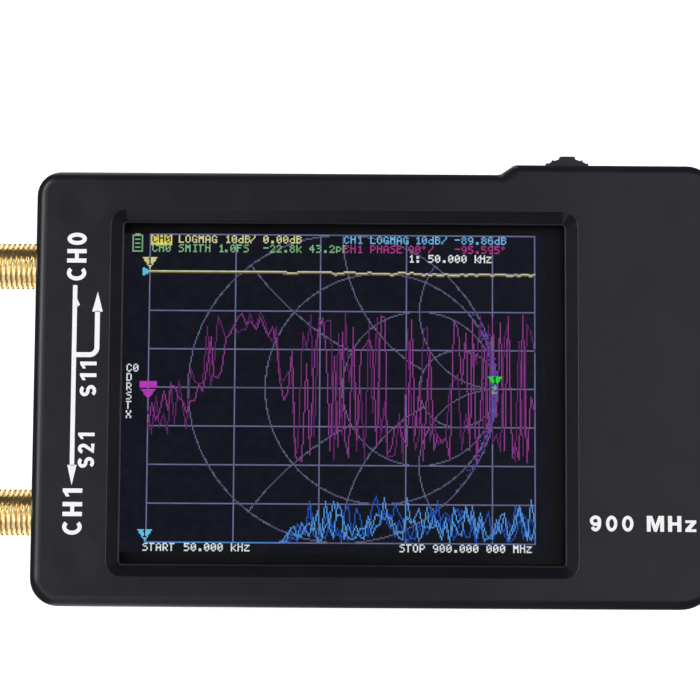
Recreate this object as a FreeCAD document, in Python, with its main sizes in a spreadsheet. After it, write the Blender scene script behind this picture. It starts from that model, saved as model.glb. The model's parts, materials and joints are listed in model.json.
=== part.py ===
import FreeCAD, Part
import math
import os
import re

import Sketcher

# A handheld vector network analyzer: a moulded case in two halves around one
# board, with a touch display at the front, two coaxial jacks on the left side,
# a sprung jog lever on the top edge and a power switch and USB-C socket on the
# right side.  +X is to the right and +Y to the top of the display, +Z comes out
# of it.  The origin is the middle of the case's flat back, and the unit is mm.

SIZES = {
    # case
    "case_length": 91.8, "case_width": 59.8, "case_thick": 19.0,
    "wall": 2.0, "floor_thick": 2.0, "roof_thick": 1.8,
    "parting_height": 10.7,
    "bump_rise": 1.36, "bump_ramp": 2.0, "bump_end": 18.7,
    "corner_top_left": 3.3, "corner_bottom_left": 3.8, "corner_top_right": 3.8,
    "corner_bottom_right": 5.2, "ramp_round": 1.2, "edge_round": 1.6,
    "lip_inset": 1.0, "lip_height": 0.9, "lip_gap": 0.1, "seam_chamfer": 0.15,
    # window in the front, with its bevelled rim
    "window_left": -34.2, "window_low": -24.3, "window_length": 59.85, "window_width": 46.1,
    "window_round": 0.6, "window_bevel": 1.5, "window_edge_round": 0.2, "overcut": 0.2,
    # screw posts
    "post_left": -39.6, "post_right": 38.5, "post_reach": 23.5,
    "front_post_radius": 2.4, "rear_post_radius": 3.2, "pilot_radius": 1.02, "pilot_depth": 5.2,
    "screw_hole_radius": 1.2, "screw_recess_radius": 2.2, "screw_seat_height": 5.0,
    "screw_radius": 1.0, "screw_length": 10.0, "screw_head_radius": 1.9, "screw_head_thick": 1.3,
    "cross_length": 2.2, "cross_width": 0.5, "cross_depth": 0.8,
    # main board
    "board_left": -41.9, "board_low": -27.6, "board_length": 84.9, "board_width": 53.6,
    "board_under": 8.7, "board_thick": 1.6, "board_round": 2.0, "board_hole_radius": 1.3,
    # display
    "display_left": -36.7, "display_low": -26.3, "display_length": 69.2, "display_width": 50.0,
    "backlight_under": 12.9, "backlight_thick": 1.4, "tray_rim": 1.4, "tray_rim_height": 0.6,
    "cell_thick": 1.3, "touch_thick": 1.2, "gasket_thick": 0.4, "gasket_width": 1.2,
    "foam_width": 5.0, "foam_length": 44.0,
    "flex_thick": 0.2, "flex_width": 20.0, "flex_run": 3.2,
    "connector_length": 5.0, "connector_width": 23.0, "connector_height": 1.2,
    # coaxial jacks
    "jack_height": 10.7, "jack_top": 16.45, "jack_bottom": -17.55, "jack_hole_radius": 3.45,
    "flange_side": 6.2, "flange_thick": 2.0, "barrel_length": 10.1, "barrel_radius": 3.175,
    "neck_radius": 2.75, "neck_length": 2.4, "thread_pitch": 0.7056, "thread_depth": 0.35,
    "thread_count": 10, "thread_overcut": 0.01, "muzzle_chamfer": 0.4,
    "leg_length": 3.5, "leg_side": 1.0, "leg_spread": 2.1,
    "insulator_radius": 2.1, "insulator_recess": 0.4,
    "contact_radius": 0.64, "contact_bore_radius": 0.46, "contact_bore_depth": 3.0,
    "contact_tail_radius": 0.4, "contact_tail_length": 2.6,
    # openings in the side walls
    "notch_floor": 5.1, "notch_clearance": 0.1, "tab_drop": 1.75,
    # USB-C socket
    "usb_middle": -8.0, "usb_width": 8.94, "usb_height": 3.26, "usb_length": 7.35, "usb_front": 45.3,
    "usb_wall": 0.3, "usb_back_thick": 1.6, "tongue_width": 6.69, "tongue_thick": 0.7,
    "tongue_length": 4.45, "usb_notch_length": 9.8,
    "usb_contact_count": 12, "usb_contact_width": 0.25, "usb_contact_pitch": 0.5,
    "usb_contact_length": 3.4, "usb_contact_thick": 0.05,
    # jog switch
    "jog_middle": 27.1, "jog_pivot": 27.4, "jog_notch_length": 8.7,
    "housing_length": 10.2, "housing_depth": 5.2, "housing_front": 26.2, "housing_height": 3.4,
    "housing_wall": 0.4, "carrier_length": 6.4, "carrier_depth": 2.4, "carrier_gap": 0.1,
    "carrier_front": 25.9, "ear_radius": 0.95, "ear_gap": 1.3, "ear_clearance": 0.2,
    "lever_radius": 5.28, "lever_inner": 1.9, "lever_thick": 2.0, "lever_web": 1.1,
    "web_overlap": 0.5, "hub_radius": 0.9, "lever_edge_round": 0.08,
    "crown_reach": 5.57, "crown_half": 1.03, "crown_foot_turn": 12.8,
    "rib_rise": 0.17, "rib_turn": 22.5, "rib_spacing_turn": 10.0, "rib_half_turn": 1.8,
    "pin_radius": 0.4, "pin_clearance": 0.05, "dome_radius": 1.6, "dome_rise": 1.2,
    "terminal_width": 0.8, "terminal_length": 1.4, "terminal_thick": 0.2, "jog_terminal_pitch": 2.2,
    # power switch
    "power_middle": 10.2, "power_length": 8.5, "power_depth": 3.6, "power_height": 3.4,
    "power_front": 43.0, "power_wall": 0.3, "power_base_thick": 0.9, "power_travel": 2.0,
    "knob_length": 1.8, "knob_height": 1.9, "knob_front": 45.4, "slider_length": 4.2,
    "slider_depth": 1.8, "slider_gap": 0.1, "power_notch_length": 5.4, "power_terminal_pitch": 2.5,
    # battery
    "battery_left": -28.0, "battery_low": -13.0, "battery_length": 40.0, "battery_width": 25.0,
    "battery_thick": 4.0, "battery_round": 1.2, "tape_thick": 0.2, "tape_margin": 4.0,
    "rib_thick": 1.0, "rib_height": 1.5, "rib_gap": 0.3,
    "lead_radius": 0.5, "lead_spacing": 2.0, "lead_middle": 1.0, "lead_height": 4.2,
    "plug_left": 20.0, "plug_length": 4.6, "plug_width": 5.0, "plug_height": 2.4,
    "header_length": 5.4, "header_wall": 0.5, "plug_depth": 3.4,
    # shielded receivers and the parts soldered to the board
    "can_height": 2.0, "can_wall": 0.2, "can_length": 18.0, "can_width": 14.0, "can_left": -34.5,
    "can_gap": 4.0, "mixer_length": 5.0, "mixer_width": 4.0, "mixer_thick": 1.2,
    # chips on the board's front face: the middle of each, and its size
    "microcontroller_x": -2.0, "microcontroller_y": -4.0,
    "microcontroller_length": 7.0, "microcontroller_width": 7.0, "microcontroller_height": 1.4,
    "audio_codec_x": -16.0, "audio_codec_y": -6.0,
    "audio_codec_length": 4.0, "audio_codec_width": 4.0, "audio_codec_height": 0.9,
    "clock_synthesizer_x": -16.0, "clock_synthesizer_y": 6.0,
    "clock_synthesizer_length": 3.0, "clock_synthesizer_width": 3.0, "clock_synthesizer_height": 1.1,
    "clock_crystal_x": -10.0, "clock_crystal_y": 6.0,
    "clock_crystal_length": 3.2, "clock_crystal_width": 2.5, "clock_crystal_height": 0.8,
    "controller_crystal_x": 8.0, "controller_crystal_y": -4.0,
    "controller_crystal_length": 3.2, "controller_crystal_width": 2.5, "controller_crystal_height": 0.8,
    "voltage_regulator_x": 14.0, "voltage_regulator_y": 6.0,
    "voltage_regulator_length": 4.5, "voltage_regulator_width": 2.5, "voltage_regulator_height": 1.5,
    "charger_chip_x": 22.0, "charger_chip_y": -8.0,
    "charger_chip_length": 3.0, "charger_chip_width": 3.0, "charger_chip_height": 0.9,
    # rows of small parts, the inductor and the lamps
    "row_left": -30.0, "row_pitch": 6.0, "row_count": 8, "resistor_row": 12.0, "capacitor_row": -14.0,
    "inductor_x": 31.0, "inductor_y": -14.0, "inductor_side": 4.0, "inductor_height": 2.0,
    "lamp_x": 40.5, "lamp_pitch": 3.0,
    "chip_resistor_length": 1.6, "chip_resistor_width": 0.8, "chip_resistor_thick": 0.5,
    "chip_capacitor_length": 2.0, "chip_capacitor_width": 1.2, "chip_capacitor_thick": 0.9,
}

document = FreeCAD.newDocument("vector_network_analyzer")
sheet = document.addObject("Spreadsheet::Sheet", "sizes")
nodes = []


# ---- helpers -------------------------------------------------------------

def fill_sheet():
    """Write every driving dimension into a cell of its own, under its name."""
    for row, (name, value) in enumerate(SIZES.items(), start=1):
        sheet.set(f"A{row}", name)
        sheet.set(f"B{row}", str(value))
        sheet.setAlias(f"B{row}", name)
    document.recompute()


def formula(text):
    """Point each dimension's name in a formula at its cell."""
    return re.sub(r"[a-z][a-z_]+", lambda word: "sizes." + word.group(), str(text))


def bind(item, **formulas):
    """Bind properties to formulas; a double underscore stands for a dot."""
    for name, text in formulas.items():
        item.setExpression(name.replace("__", "."), formula(text))


def move(item, x, y, z):
    """Bind where an item stands."""
    bind(item, Placement__Base__x=x, Placement__Base__y=y, Placement__Base__z=z)


def node(name, item):
    """Label an item as one sub-part, to be written to its own file."""
    item.Label = name
    nodes.append(item)
    return item


def block(x, y, z, length, width, height):
    """Make a block from its low corner and its sizes."""
    item = document.addObject("Part::Box", "block")
    bind(item, Length=length, Width=width, Height=height)
    move(item, x, y, z)
    return item


def rod(x, y, z, radius, length, direction=(0, 0, 1)):
    """Make a cylinder that runs from a point along a direction."""
    item = document.addObject("Part::Cylinder", "rod")
    turn = FreeCAD.Rotation(FreeCAD.Vector(0, 0, 1), FreeCAD.Vector(*direction))
    item.Placement = FreeCAD.Placement(FreeCAD.Vector(), turn)
    bind(item, Radius=radius, Height=length)
    move(item, x, y, z)
    return item


def fuse(*items):
    """Join solids into one."""
    item = document.addObject("Part::MultiFuse", "fuse")
    item.Shapes = list(items)
    item.Refine = True
    return item


def cut(base, *tools):
    """Take tools away from a solid."""
    item = document.addObject("Part::Cut", "cut")
    item.Base = base
    item.Tool = tools[0] if len(tools) == 1 else fuse(*tools)
    return item


def group(*items):
    """Keep separate solids together as one sub-part."""
    item = document.addObject("Part::Compound", "group")
    item.Links = list(items)
    return item


def body(name):
    """Start a body made from sketches."""
    item = document.addObject("PartDesign::Body", name)
    return node(name, item)


def sketch(parent, plane, offset="0"):
    """Start a sketch on one of the body's origin planes, raised by an offset."""
    item = parent.newObject("Sketcher::SketchObject", "sketch")
    for feature in parent.Origin.OriginFeatures:
        if feature.Role == plane:
            item.AttachmentSupport = (feature, [""])
    item.MapMode = "FlatFace"
    bind(item, AttachmentOffset__Base__z=offset)
    return item


def outline(drawing, corners):
    """Draw a closed outline of straight lines, each corner bound to two formulas."""
    first = drawing.GeometryCount
    count = len(corners)
    ring = [FreeCAD.Vector(10 * math.cos(2 * math.pi * i / count), 10 * math.sin(2 * math.pi * i / count), 0)
            for i in range(count)]
    for i in range(count):
        drawing.addGeometry(Part.LineSegment(ring[i], ring[(i + 1) % count]), False)
    for i in range(count):
        following = first + (i + 1) % count
        drawing.addConstraint(Sketcher.Constraint("Coincident", first + i, 2, following, 1))
    for i, (x, y) in enumerate(corners):
        fix_point(drawing, first + i, 1, ring[i], x, y)


def fix_point(drawing, geometry, end, guess, x, y):
    """Bind one point's distances from the sketch's origin."""
    across = drawing.addConstraint(Sketcher.Constraint("DistanceX", -1, 1, geometry, end, guess.x))
    drawing.setExpression(f"Constraints[{across}]", formula(x))
    upward = drawing.addConstraint(Sketcher.Constraint("DistanceY", -1, 1, geometry, end, guess.y))
    drawing.setExpression(f"Constraints[{upward}]", formula(y))


def rectangle(drawing, x, y, length, width):
    """Draw a rectangle from its low corner."""
    far_x = f"({x}) + ({length})"
    far_y = f"({y}) + ({width})"
    outline(drawing, [(x, y), (far_x, y), (far_x, far_y), (x, far_y)])


def circle(drawing, x, y, radius):
    """Draw a circle from its middle and radius."""
    guess = FreeCAD.Vector(1, 1, 0)
    index = drawing.addGeometry(Part.Circle(guess, FreeCAD.Vector(0, 0, 1), 1.0), False)
    fix_point(drawing, index, 3, guess, x, y)
    size = drawing.addConstraint(Sketcher.Constraint("Radius", index, 1.0))
    drawing.setExpression(f"Constraints[{size}]", formula(radius))


def feature(parent, kind, drawing, **settings):
    """Add a feature made from a sketch, with its sizes bound."""
    item = parent.newObject("PartDesign::" + kind, kind.lower())
    item.Profile = drawing
    item.Reversed = settings.pop("reversed", False)
    bind(item, **settings)
    document.recompute()
    return item


def add(parent, drawing, length, reversed=False):
    """Raise a sketch into solid material."""
    return feature(parent, "Pad", drawing, Length=length, reversed=reversed)


def remove(parent, drawing, length, reversed=False):
    """Sink a sketch into the body and make sure that it cuts something."""
    before = parent.Shape.Volume
    item = feature(parent, "Pocket", drawing, Length=length, reversed=reversed)
    if parent.Shape.Volume > before - 1e-6:
        raise RuntimeError("a pocket cut nothing in " + parent.Label)
    return item


def spin(parent, kind, drawing):
    """Turn a sketch a full turn about its horizontal axis."""
    item = parent.newObject("PartDesign::" + kind, kind.lower())
    item.Profile = drawing
    item.ReferenceAxis = (drawing, ["H_Axis"])
    document.recompute()
    return item


def sharp(shape, edge):
    """Say whether the two faces beside an edge meet at an angle."""
    faces = shape.ancestorsOfType(edge, Part.Face)
    if len(faces) != 2:
        return False
    middle = edge.valueAt((edge.FirstParameter + edge.LastParameter) / 2)
    normals = [face.normalAt(*face.Surface.parameter(middle)) for face in faces]
    return abs(normals[0].cross(normals[1]).Length) > 0.02


def dress(parent, kind, chosen, **settings):
    """Fillet or chamfer every edge that a test picks."""
    base = parent.Tip
    names = [f"Edge{i}" for i, edge in enumerate(base.Shape.Edges, start=1) if chosen(base.Shape, edge)]
    if not names:
        raise RuntimeError("no edge to dress in " + parent.Label)
    item = parent.newObject("PartDesign::" + kind, kind.lower())
    item.Base = (base, names)
    bind(item, **settings)
    document.recompute()
    return item


def upright_corner(shape, edge):
    """Pick the sharp edges that run along Z."""
    box = edge.BoundBox
    return box.XLength < 0.01 and box.YLength < 0.01 and box.ZLength > 0.1 and sharp(shape, edge)


def level_edge(height):
    """Pick the edges that lie at one height."""
    return lambda shape, edge: (abs(edge.BoundBox.ZMin - height) < 0.01
                                and abs(edge.BoundBox.ZMax - height) < 0.01)


def along(direction):
    """Pick the sharp straight edges that run along an axis, by its letter."""
    def chosen(shape, edge):
        box = edge.BoundBox
        spans = {"X": box.XLength, "Y": box.YLength, "Z": box.ZLength}
        run = spans.pop(direction)
        return run > 0.1 and max(spans.values()) < 0.01 and sharp(shape, edge)
    return chosen


# ---- case ----------------------------------------------------------------

def case_outline(drawing, inset):
    """Draw the case's outline, moved inwards; its top right end stands higher."""
    slope = math.atan2(SIZES["bump_rise"], SIZES["bump_ramp"])
    shift = f"({inset}) * {math.tan(slope / 2):.6f}"
    left = f"-case_length / 2 + {inset}"
    right = f"case_length / 2 - ({inset})"
    low = f"-case_width / 2 + {inset}"
    high = f"case_width / 2 - ({inset})"
    outline(drawing, [
        (left, low), (right, low), (right, high),
        (f"bump_end + {shift}", high),
        (f"bump_end - bump_ramp + {shift}", f"{high} - bump_rise"),
        (left, f"{high} - bump_rise"),
    ])


def case_corner(right, up):
    """Pick the upright corner of the case at one side and one end, each given as -1 or 1."""
    end_zone = SIZES["case_length"] / 3
    return lambda shape, edge: (upright_corner(shape, edge) and right * edge.BoundBox.XMax > end_zone
                                and up * edge.BoundBox.YMax > 0)


def case_prism(inset, low, height, rounded_face=None):
    """Make a solid of the case's outline, moved inwards, with round upright corners."""
    prism = document.addObject("PartDesign::Body", "case_prism")
    drawing = sketch(prism, "XY_Plane", low)
    case_outline(drawing, inset)
    add(prism, drawing, height)
    for right, side in ((-1, "left"), (1, "right")):
        for up, end in ((-1, "bottom"), (1, "top")):
            dress(prism, "Fillet", case_corner(right, up), Radius=f"corner_{end}_{side} - ({inset})")
    dress(prism, "Fillet", upright_corner, Radius="ramp_round")
    if rounded_face is not None:
        dress(prism, "Fillet", level_edge(rounded_face), Radius="edge_round")
        dress(prism, "Chamfer", level_edge(SIZES["parting_height"]), Size="seam_chamfer")
    return prism


def screw_places():
    """Give the middles of the four screw posts as formulas."""
    return [(x, y) for x in ("post_left", "post_right") for y in ("-post_reach", "post_reach")]


def posts(low, radius, height):
    """Four upright cylinders, one on each screw's axis."""
    return [rod(x, y, low, radius, height) for x, y in screw_places()]


def wall_notches(low, height, clearance):
    """Blocks for the three side openings: jog lever at the top, power and USB at the right."""
    blocks = [block(f"jog_middle - jog_notch_length / 2 + {clearance}", "case_width / 2 - wall", low,
                    f"jog_notch_length - 2 * ({clearance})", "wall", height)]
    for middle, length in (("power_middle", "power_notch_length"), ("usb_middle", "usb_notch_length")):
        blocks.append(block("case_length / 2 - wall", f"{middle} - {length} / 2 + {clearance}", low,
                            "wall", f"{length} - 2 * ({clearance})", height))
    return blocks


def jack_holes():
    """Two round cutters for the jacks, through the left wall."""
    return [rod("-case_length / 2 - wall", across, "jack_height", "jack_hole_radius", "4 * wall", (1, 0, 0))
            for across in ("jack_top", "jack_bottom")]


def window_cutters():
    """The window's straight opening and its bevelled rim, as two cutting bodies."""
    opening = document.addObject("PartDesign::Body", "window_opening")
    drawing = sketch(opening, "XY_Plane", "case_thick - 2 * roof_thick")
    rectangle(drawing, "window_left", "window_low", "window_length", "window_width")
    add(opening, drawing, "3 * roof_thick")
    dress(opening, "Fillet", upright_corner, Radius="window_round")
    rim = document.addObject("PartDesign::Body", "window_rim")
    drawing = sketch(rim, "XY_Plane", "case_thick - window_bevel")
    rectangle(drawing, "window_left - window_bevel", "window_low - window_bevel",
              "window_length + 2 * window_bevel", "window_width + 2 * window_bevel")
    add(rim, drawing, "window_bevel + overcut")
    dress(rim, "Fillet", upright_corner, Radius="window_round + window_bevel")
    dress(rim, "Chamfer", level_edge(SIZES["case_thick"] - SIZES["window_bevel"]), Size="window_bevel")
    return [opening, rim]


def front_shell():
    """Front half: roof with the window, side walls, posts and closing tabs."""
    outer = case_prism("0", "parting_height", "case_thick - parting_height", SIZES["case_thick"])
    rebate = case_prism("lip_inset", "parting_height", "lip_height + lip_gap")
    room = case_prism("wall", "parting_height", "case_thick - roof_thick - parting_height")
    post_height = "case_thick - roof_thick / 2 - board_under - board_thick"
    solid = fuse(cut(outer, rebate, room),
                 *posts("board_under + board_thick", "front_post_radius", post_height),
                 *wall_notches("parting_height - tab_drop", "tab_drop + lip_height + lip_gap",
                               "notch_clearance"))
    pilots = posts("board_under + board_thick", "pilot_radius", "pilot_depth")
    blank = cut(solid, *pilots, *window_cutters(), *jack_holes())
    document.recompute()
    soft_edges = document.addObject("Part::Fillet", "window_edges")
    soft_edges.Base = blank
    radius = SIZES["window_edge_round"]
    soft_edges.Edges = [(i, radius, radius) for i, edge in enumerate(blank.Shape.Edges, start=1)
                        if on_window_rim(edge.BoundBox)]
    node("front_shell", soft_edges)


def on_window_rim(box):
    """Say whether an edge lies along the top or the foot of the window's bevel."""
    heights = (SIZES["case_thick"], SIZES["case_thick"] - SIZES["window_bevel"])
    level = any(abs(box.ZMin - height) < 0.01 and abs(box.ZMax - height) < 0.01 for height in heights)
    margin = SIZES["window_bevel"] + 0.5
    inside_x = (box.XMin > SIZES["window_left"] - margin
                and box.XMax < SIZES["window_left"] + SIZES["window_length"] + margin)
    inside_y = (box.YMin > SIZES["window_low"] - margin
                and box.YMax < SIZES["window_low"] + SIZES["window_width"] + margin)
    return level and inside_x and inside_y


def battery_cradle():
    """Low wall around the battery, standing on the floor."""
    frames = [block(f"battery_left - ({grow})", f"battery_low - ({grow})", "floor_thick / 2",
                    f"battery_length + 2 * ({grow})", f"battery_width + 2 * ({grow})",
                    "rib_height + floor_thick / 2")
              for grow in ("rib_gap + rib_thick", "rib_gap")]
    return cut(*frames)


def rear_shell():
    """Rear half: flat back, side walls with a tongue, screw posts and battery cradle."""
    outer = case_prism("0", "0", "parting_height", 0.0)
    tongue = case_prism("lip_inset + lip_gap", "parting_height - 1", "lip_height + 1")
    room = case_prism("wall", "floor_thick", "parting_height + lip_height - floor_thick")
    solid = fuse(cut(fuse(outer, tongue), room),
                 *posts("floor_thick / 2", "rear_post_radius", "board_under - floor_thick / 2"),
                 battery_cradle())
    seats = posts("0", "screw_recess_radius", "screw_seat_height")
    holes = posts("0", "screw_hole_radius", "board_under")
    notches = wall_notches("notch_floor", "parting_height + lip_height - notch_floor", "0")
    node("rear_shell", cut(solid, *seats, *holes, *notches, *jack_holes()))


def case_screws():
    """Four self-tapping screws that go in from the back."""
    screws = []
    for x, y in screw_places():
        head = rod(x, y, "screw_seat_height - screw_head_thick", "screw_head_radius", "screw_head_thick")
        shank = rod(x, y, "screw_seat_height", "screw_radius", "screw_length")
        under = "screw_seat_height - screw_head_thick"
        bars = [block(f"{x} - {length} / 2", f"({y}) - {width} / 2", under, length, width, "cross_depth")
                for length, width in (("cross_length", "cross_width"), ("cross_width", "cross_length"))]
        screws.append(cut(fuse(head, shank), *bars))
    node("case_screws", group(*screws))


# ---- display -------------------------------------------------------------

TOUCH_UNDER = "backlight_under + backlight_thick + cell_thick"
BOARD_TOP = "board_under + board_thick"


def display():
    """Gasket, touch panel, liquid crystal cell, backlight tray and its foam strips."""
    touch_top = f"{TOUCH_UNDER} + touch_thick"
    ring_out = block("window_left - gasket_width", "window_low - gasket_width", touch_top,
                     "window_length + 2 * gasket_width", "window_width + 2 * gasket_width", "gasket_thick")
    ring_in = block("window_left", "window_low", touch_top, "window_length", "window_width", "gasket_thick")
    node("window_gasket", cut(ring_out, ring_in))
    node("touch_panel", block("display_left", "display_low", TOUCH_UNDER,
                              "display_length", "display_width", "touch_thick"))
    cell_box = ("display_left + tray_rim", "display_low + tray_rim", "backlight_under + backlight_thick",
                "display_length - 2 * tray_rim", "display_width - 2 * tray_rim")
    node("lcd_cell", block(*cell_box, "cell_thick"))
    tray = block("display_left", "display_low", "backlight_under", "display_length", "display_width",
                 "backlight_thick + tray_rim_height")
    node("lcd_backlight", cut(tray, block(*cell_box, "tray_rim_height")))
    strips = [block("display_left + tray_rim + foam_width", y, BOARD_TOP, "foam_length", "foam_width",
                    f"backlight_under - ({BOARD_TOP})")
              for y in ("display_low + foam_width / 2", "display_low + display_width - 3 * foam_width / 2")]
    node("foam_strips", group(*strips))


def lcd_flex_cable():
    """Flat cable that steps down from the display's right end to the board."""
    cable = body("lcd_flex_cable")
    drawing = sketch(cable, "XZ_Plane", "0")
    start = "display_left + display_length"
    high = "backlight_under + flex_thick"
    low = f"{BOARD_TOP} + connector_height / 2"
    bend = f"{start} + flex_run / 2"
    outline(drawing, [
        (start, high), (f"{bend} - flex_thick", high), (f"{bend} - flex_thick", low),
        (f"{start} + flex_run", low), (f"{start} + flex_run", f"{low} + flex_thick"),
        (bend, f"{low} + flex_thick"), (bend, f"{high} + flex_thick"), (start, f"{high} + flex_thick"),
    ])
    item = feature(cable, "Pad", drawing, Length="flex_width")
    item.SideType = "Symmetric"
    document.recompute()
    start_x = "display_left + display_length + flex_run"
    socket = block(start_x, "-connector_width / 2", BOARD_TOP,
                   "connector_length", "connector_width", "connector_height")
    latch = block(f"{start_x} + connector_length", "-connector_width / 2", BOARD_TOP,
                  "connector_height", "connector_width", "connector_height * 0.7")
    node("flex_connector", socket)
    node("flex_latch", latch)


# ---- board ---------------------------------------------------------------

def main_board():
    """Glass-fibre board with round corners and its four screw holes."""
    plate = document.addObject("PartDesign::Body", "board_plate")
    drawing = sketch(plate, "XY_Plane", "board_under")
    rectangle(drawing, "board_left", "board_low", "board_length", "board_width")
    add(plate, drawing, "board_thick")
    dress(plate, "Fillet", upright_corner, Radius="board_round")
    holes = [rod(x, y, "board_under", "board_hole_radius", "board_thick") for x, y in screw_places()]
    node("main_board", cut(plate, *holes))


def front_chip(name):
    """Place one chip on the board's front face, by its middle."""
    node(name, block(f"{name}_x - {name}_length / 2", f"{name}_y - {name}_width / 2", BOARD_TOP,
                     f"{name}_length", f"{name}_width", f"{name}_height"))


def back_chip(x, y, length, width, height):
    """Place one part under the board's back face, by its middle."""
    return block(f"{x} - ({length}) / 2", f"{y} - ({width}) / 2", f"board_under - ({height})",
                 length, width, height)


def board_chips():
    """The chips on the front face, between the board and the display."""
    for name in ("microcontroller", "audio_codec", "clock_synthesizer", "clock_crystal",
                 "controller_crystal", "voltage_regulator", "charger_chip"):
        front_chip(name)


def small_parts():
    """Chip resistors and capacitors in two rows, the inductor and the two status lamps."""
    resistors = []
    capacitors = []
    for step in range(SIZES["row_count"]):
        x = f"row_left + row_pitch * {step}"
        resistors.append(block(x, "resistor_row", BOARD_TOP, "chip_resistor_length",
                               "chip_resistor_width", "chip_resistor_thick"))
        capacitors.append(block(x, "capacitor_row", BOARD_TOP, "chip_capacitor_length",
                                "chip_capacitor_width", "chip_capacitor_thick"))
    node("chip_resistors", group(*resistors))
    node("chip_capacitors", group(*capacitors))
    node("power_inductor", back_chip("inductor_x", "inductor_y", "inductor_side", "inductor_side",
                                     "inductor_height"))
    lamps = [back_chip("lamp_x", f"lamp_pitch * {step}", "chip_resistor_width", "chip_resistor_length",
                       "chip_resistor_thick")
             for step in (0, 1)]
    node("status_lamps", group(*lamps))


def shield_can(name, x, y):
    """One folded metal can over a receiver, open towards the board."""
    under = "board_under - can_height"
    shell = block(x, y, under, "can_length", "can_width", "can_height")
    room = block(f"{x} + can_wall", f"{y} + can_wall", f"{under} + can_wall",
                 "can_length - 2 * can_wall", "can_width - 2 * can_wall", "can_height - can_wall")
    node(name, cut(shell, room))


def receivers():
    """Three shield cans with a mixer chip in each."""
    places = {
        "ch0": ("can_left", "jack_top - can_width / 2"),
        "ch1": ("can_left", "jack_bottom - can_width / 2"),
        "reference": ("can_left + can_length + can_gap", "jack_top - can_width / 2"),
    }
    for channel, (x, y) in places.items():
        shield_can("shield_" + channel, x, y)
        node("mixer_" + channel, back_chip(f"{x} + can_length / 2", f"{y} + can_width / 2",
                                           "mixer_length", "mixer_width", "mixer_thick"))


# ---- coaxial jacks -------------------------------------------------------

def jack_body(name, across):
    """Threaded jack body with a square flange and four legs that straddle the board."""
    jack = body(name)
    jack.Placement = FreeCAD.Placement(FreeCAD.Vector(), FreeCAD.Rotation(FreeCAD.Vector(0, 0, 1), 180))
    move(jack, "board_left", across, "jack_height")
    drawing = sketch(jack, "YZ_Plane")
    rectangle(drawing, "-flange_side / 2", "-flange_side / 2", "flange_side", "flange_side")
    add(jack, drawing, "flange_thick")
    drawing = sketch(jack, "XY_Plane")
    mouth = "flange_thick + barrel_length"
    outline(drawing, [
        ("flange_thick / 2", "0"), ("flange_thick / 2", "neck_radius"),
        ("flange_thick + neck_length", "neck_radius"), ("flange_thick + neck_length", "barrel_radius"),
        (f"{mouth} - muzzle_chamfer", "barrel_radius"), (mouth, "barrel_radius - muzzle_chamfer"),
        (mouth, "0"),
    ])
    spin(jack, "Revolution", drawing)
    drawing = sketch(jack, "XY_Plane")
    first = "flange_thick + neck_length + thread_pitch / 4"
    outline(drawing, [
        (first, "barrel_radius + thread_overcut"),
        (f"{first} + thread_pitch * 0.375", "barrel_radius - thread_depth"),
        (f"{first} + thread_pitch * 0.75", "barrel_radius + thread_overcut"),
    ])
    groove = spin(jack, "Groove", drawing)
    rings = jack.newObject("PartDesign::LinearPattern", "rings")
    rings.Originals = [groove]
    rings.Direction = (drawing, ["H_Axis"])
    rings.Mode = "Spacing"
    bind(rings, Offset="thread_pitch", Occurrences="thread_count")
    jack.Tip = rings
    document.recompute()
    drawing = sketch(jack, "YZ_Plane")
    circle(drawing, "0", "0", "insulator_radius")
    remove(jack, drawing, "flange_thick + barrel_length", reversed=True)
    drawing = sketch(jack, "YZ_Plane")
    over = f"{BOARD_TOP} - jack_height"
    under = "board_under - leg_side - jack_height"
    for y in ("-leg_spread - leg_side / 2", "leg_spread - leg_side / 2"):
        for height in (over, under):
            rectangle(drawing, y, height, "leg_side", "leg_side")
    add(jack, drawing, "leg_length", reversed=True)


def jack_inside(channel, across):
    """White insulator and the split centre contact of one jack."""
    insulator_length = "flange_thick + barrel_length - insulator_recess"
    left = (-1, 0, 0)
    sleeve = rod("board_left", across, "jack_height", "insulator_radius", insulator_length, left)
    tunnel = rod("board_left", across, "jack_height", "contact_radius", insulator_length, left)
    node("jack_insulator_" + channel, cut(sleeve, tunnel))
    socket = rod("board_left", across, "jack_height", "contact_radius", insulator_length, left)
    tail = rod("board_left + contact_tail_length", across, "jack_height", "contact_tail_radius",
               "contact_tail_length + flange_thick", left)
    bore = rod(f"board_left - ({insulator_length}) + contact_bore_depth", across, "jack_height",
               "contact_bore_radius", "contact_bore_depth", left)
    node("jack_contact_" + channel, cut(fuse(socket, tail), bore))


def jacks():
    """Both measuring ports."""
    for channel, across in (("ch0", "jack_top"), ("ch1", "jack_bottom")):
        jack_body("jack_body_" + channel, across)
        jack_inside(channel, across)


# ---- USB-C socket --------------------------------------------------------

def flat_tube(x, middle, under, length, width, height):
    """A bar along X with fully rounded sides, lying flat."""
    radius = f"({height}) / 2"
    core = block(x, f"{middle} - ({width}) / 2 + {radius}", under, length, f"({width}) - ({height})", height)
    ends = [rod(x, f"{middle} {sign} (({width}) / 2 - {radius})", f"{under} + {radius}", radius, length,
                (1, 0, 0))
            for sign in ("-", "+")]
    return fuse(core, *ends)


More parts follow.
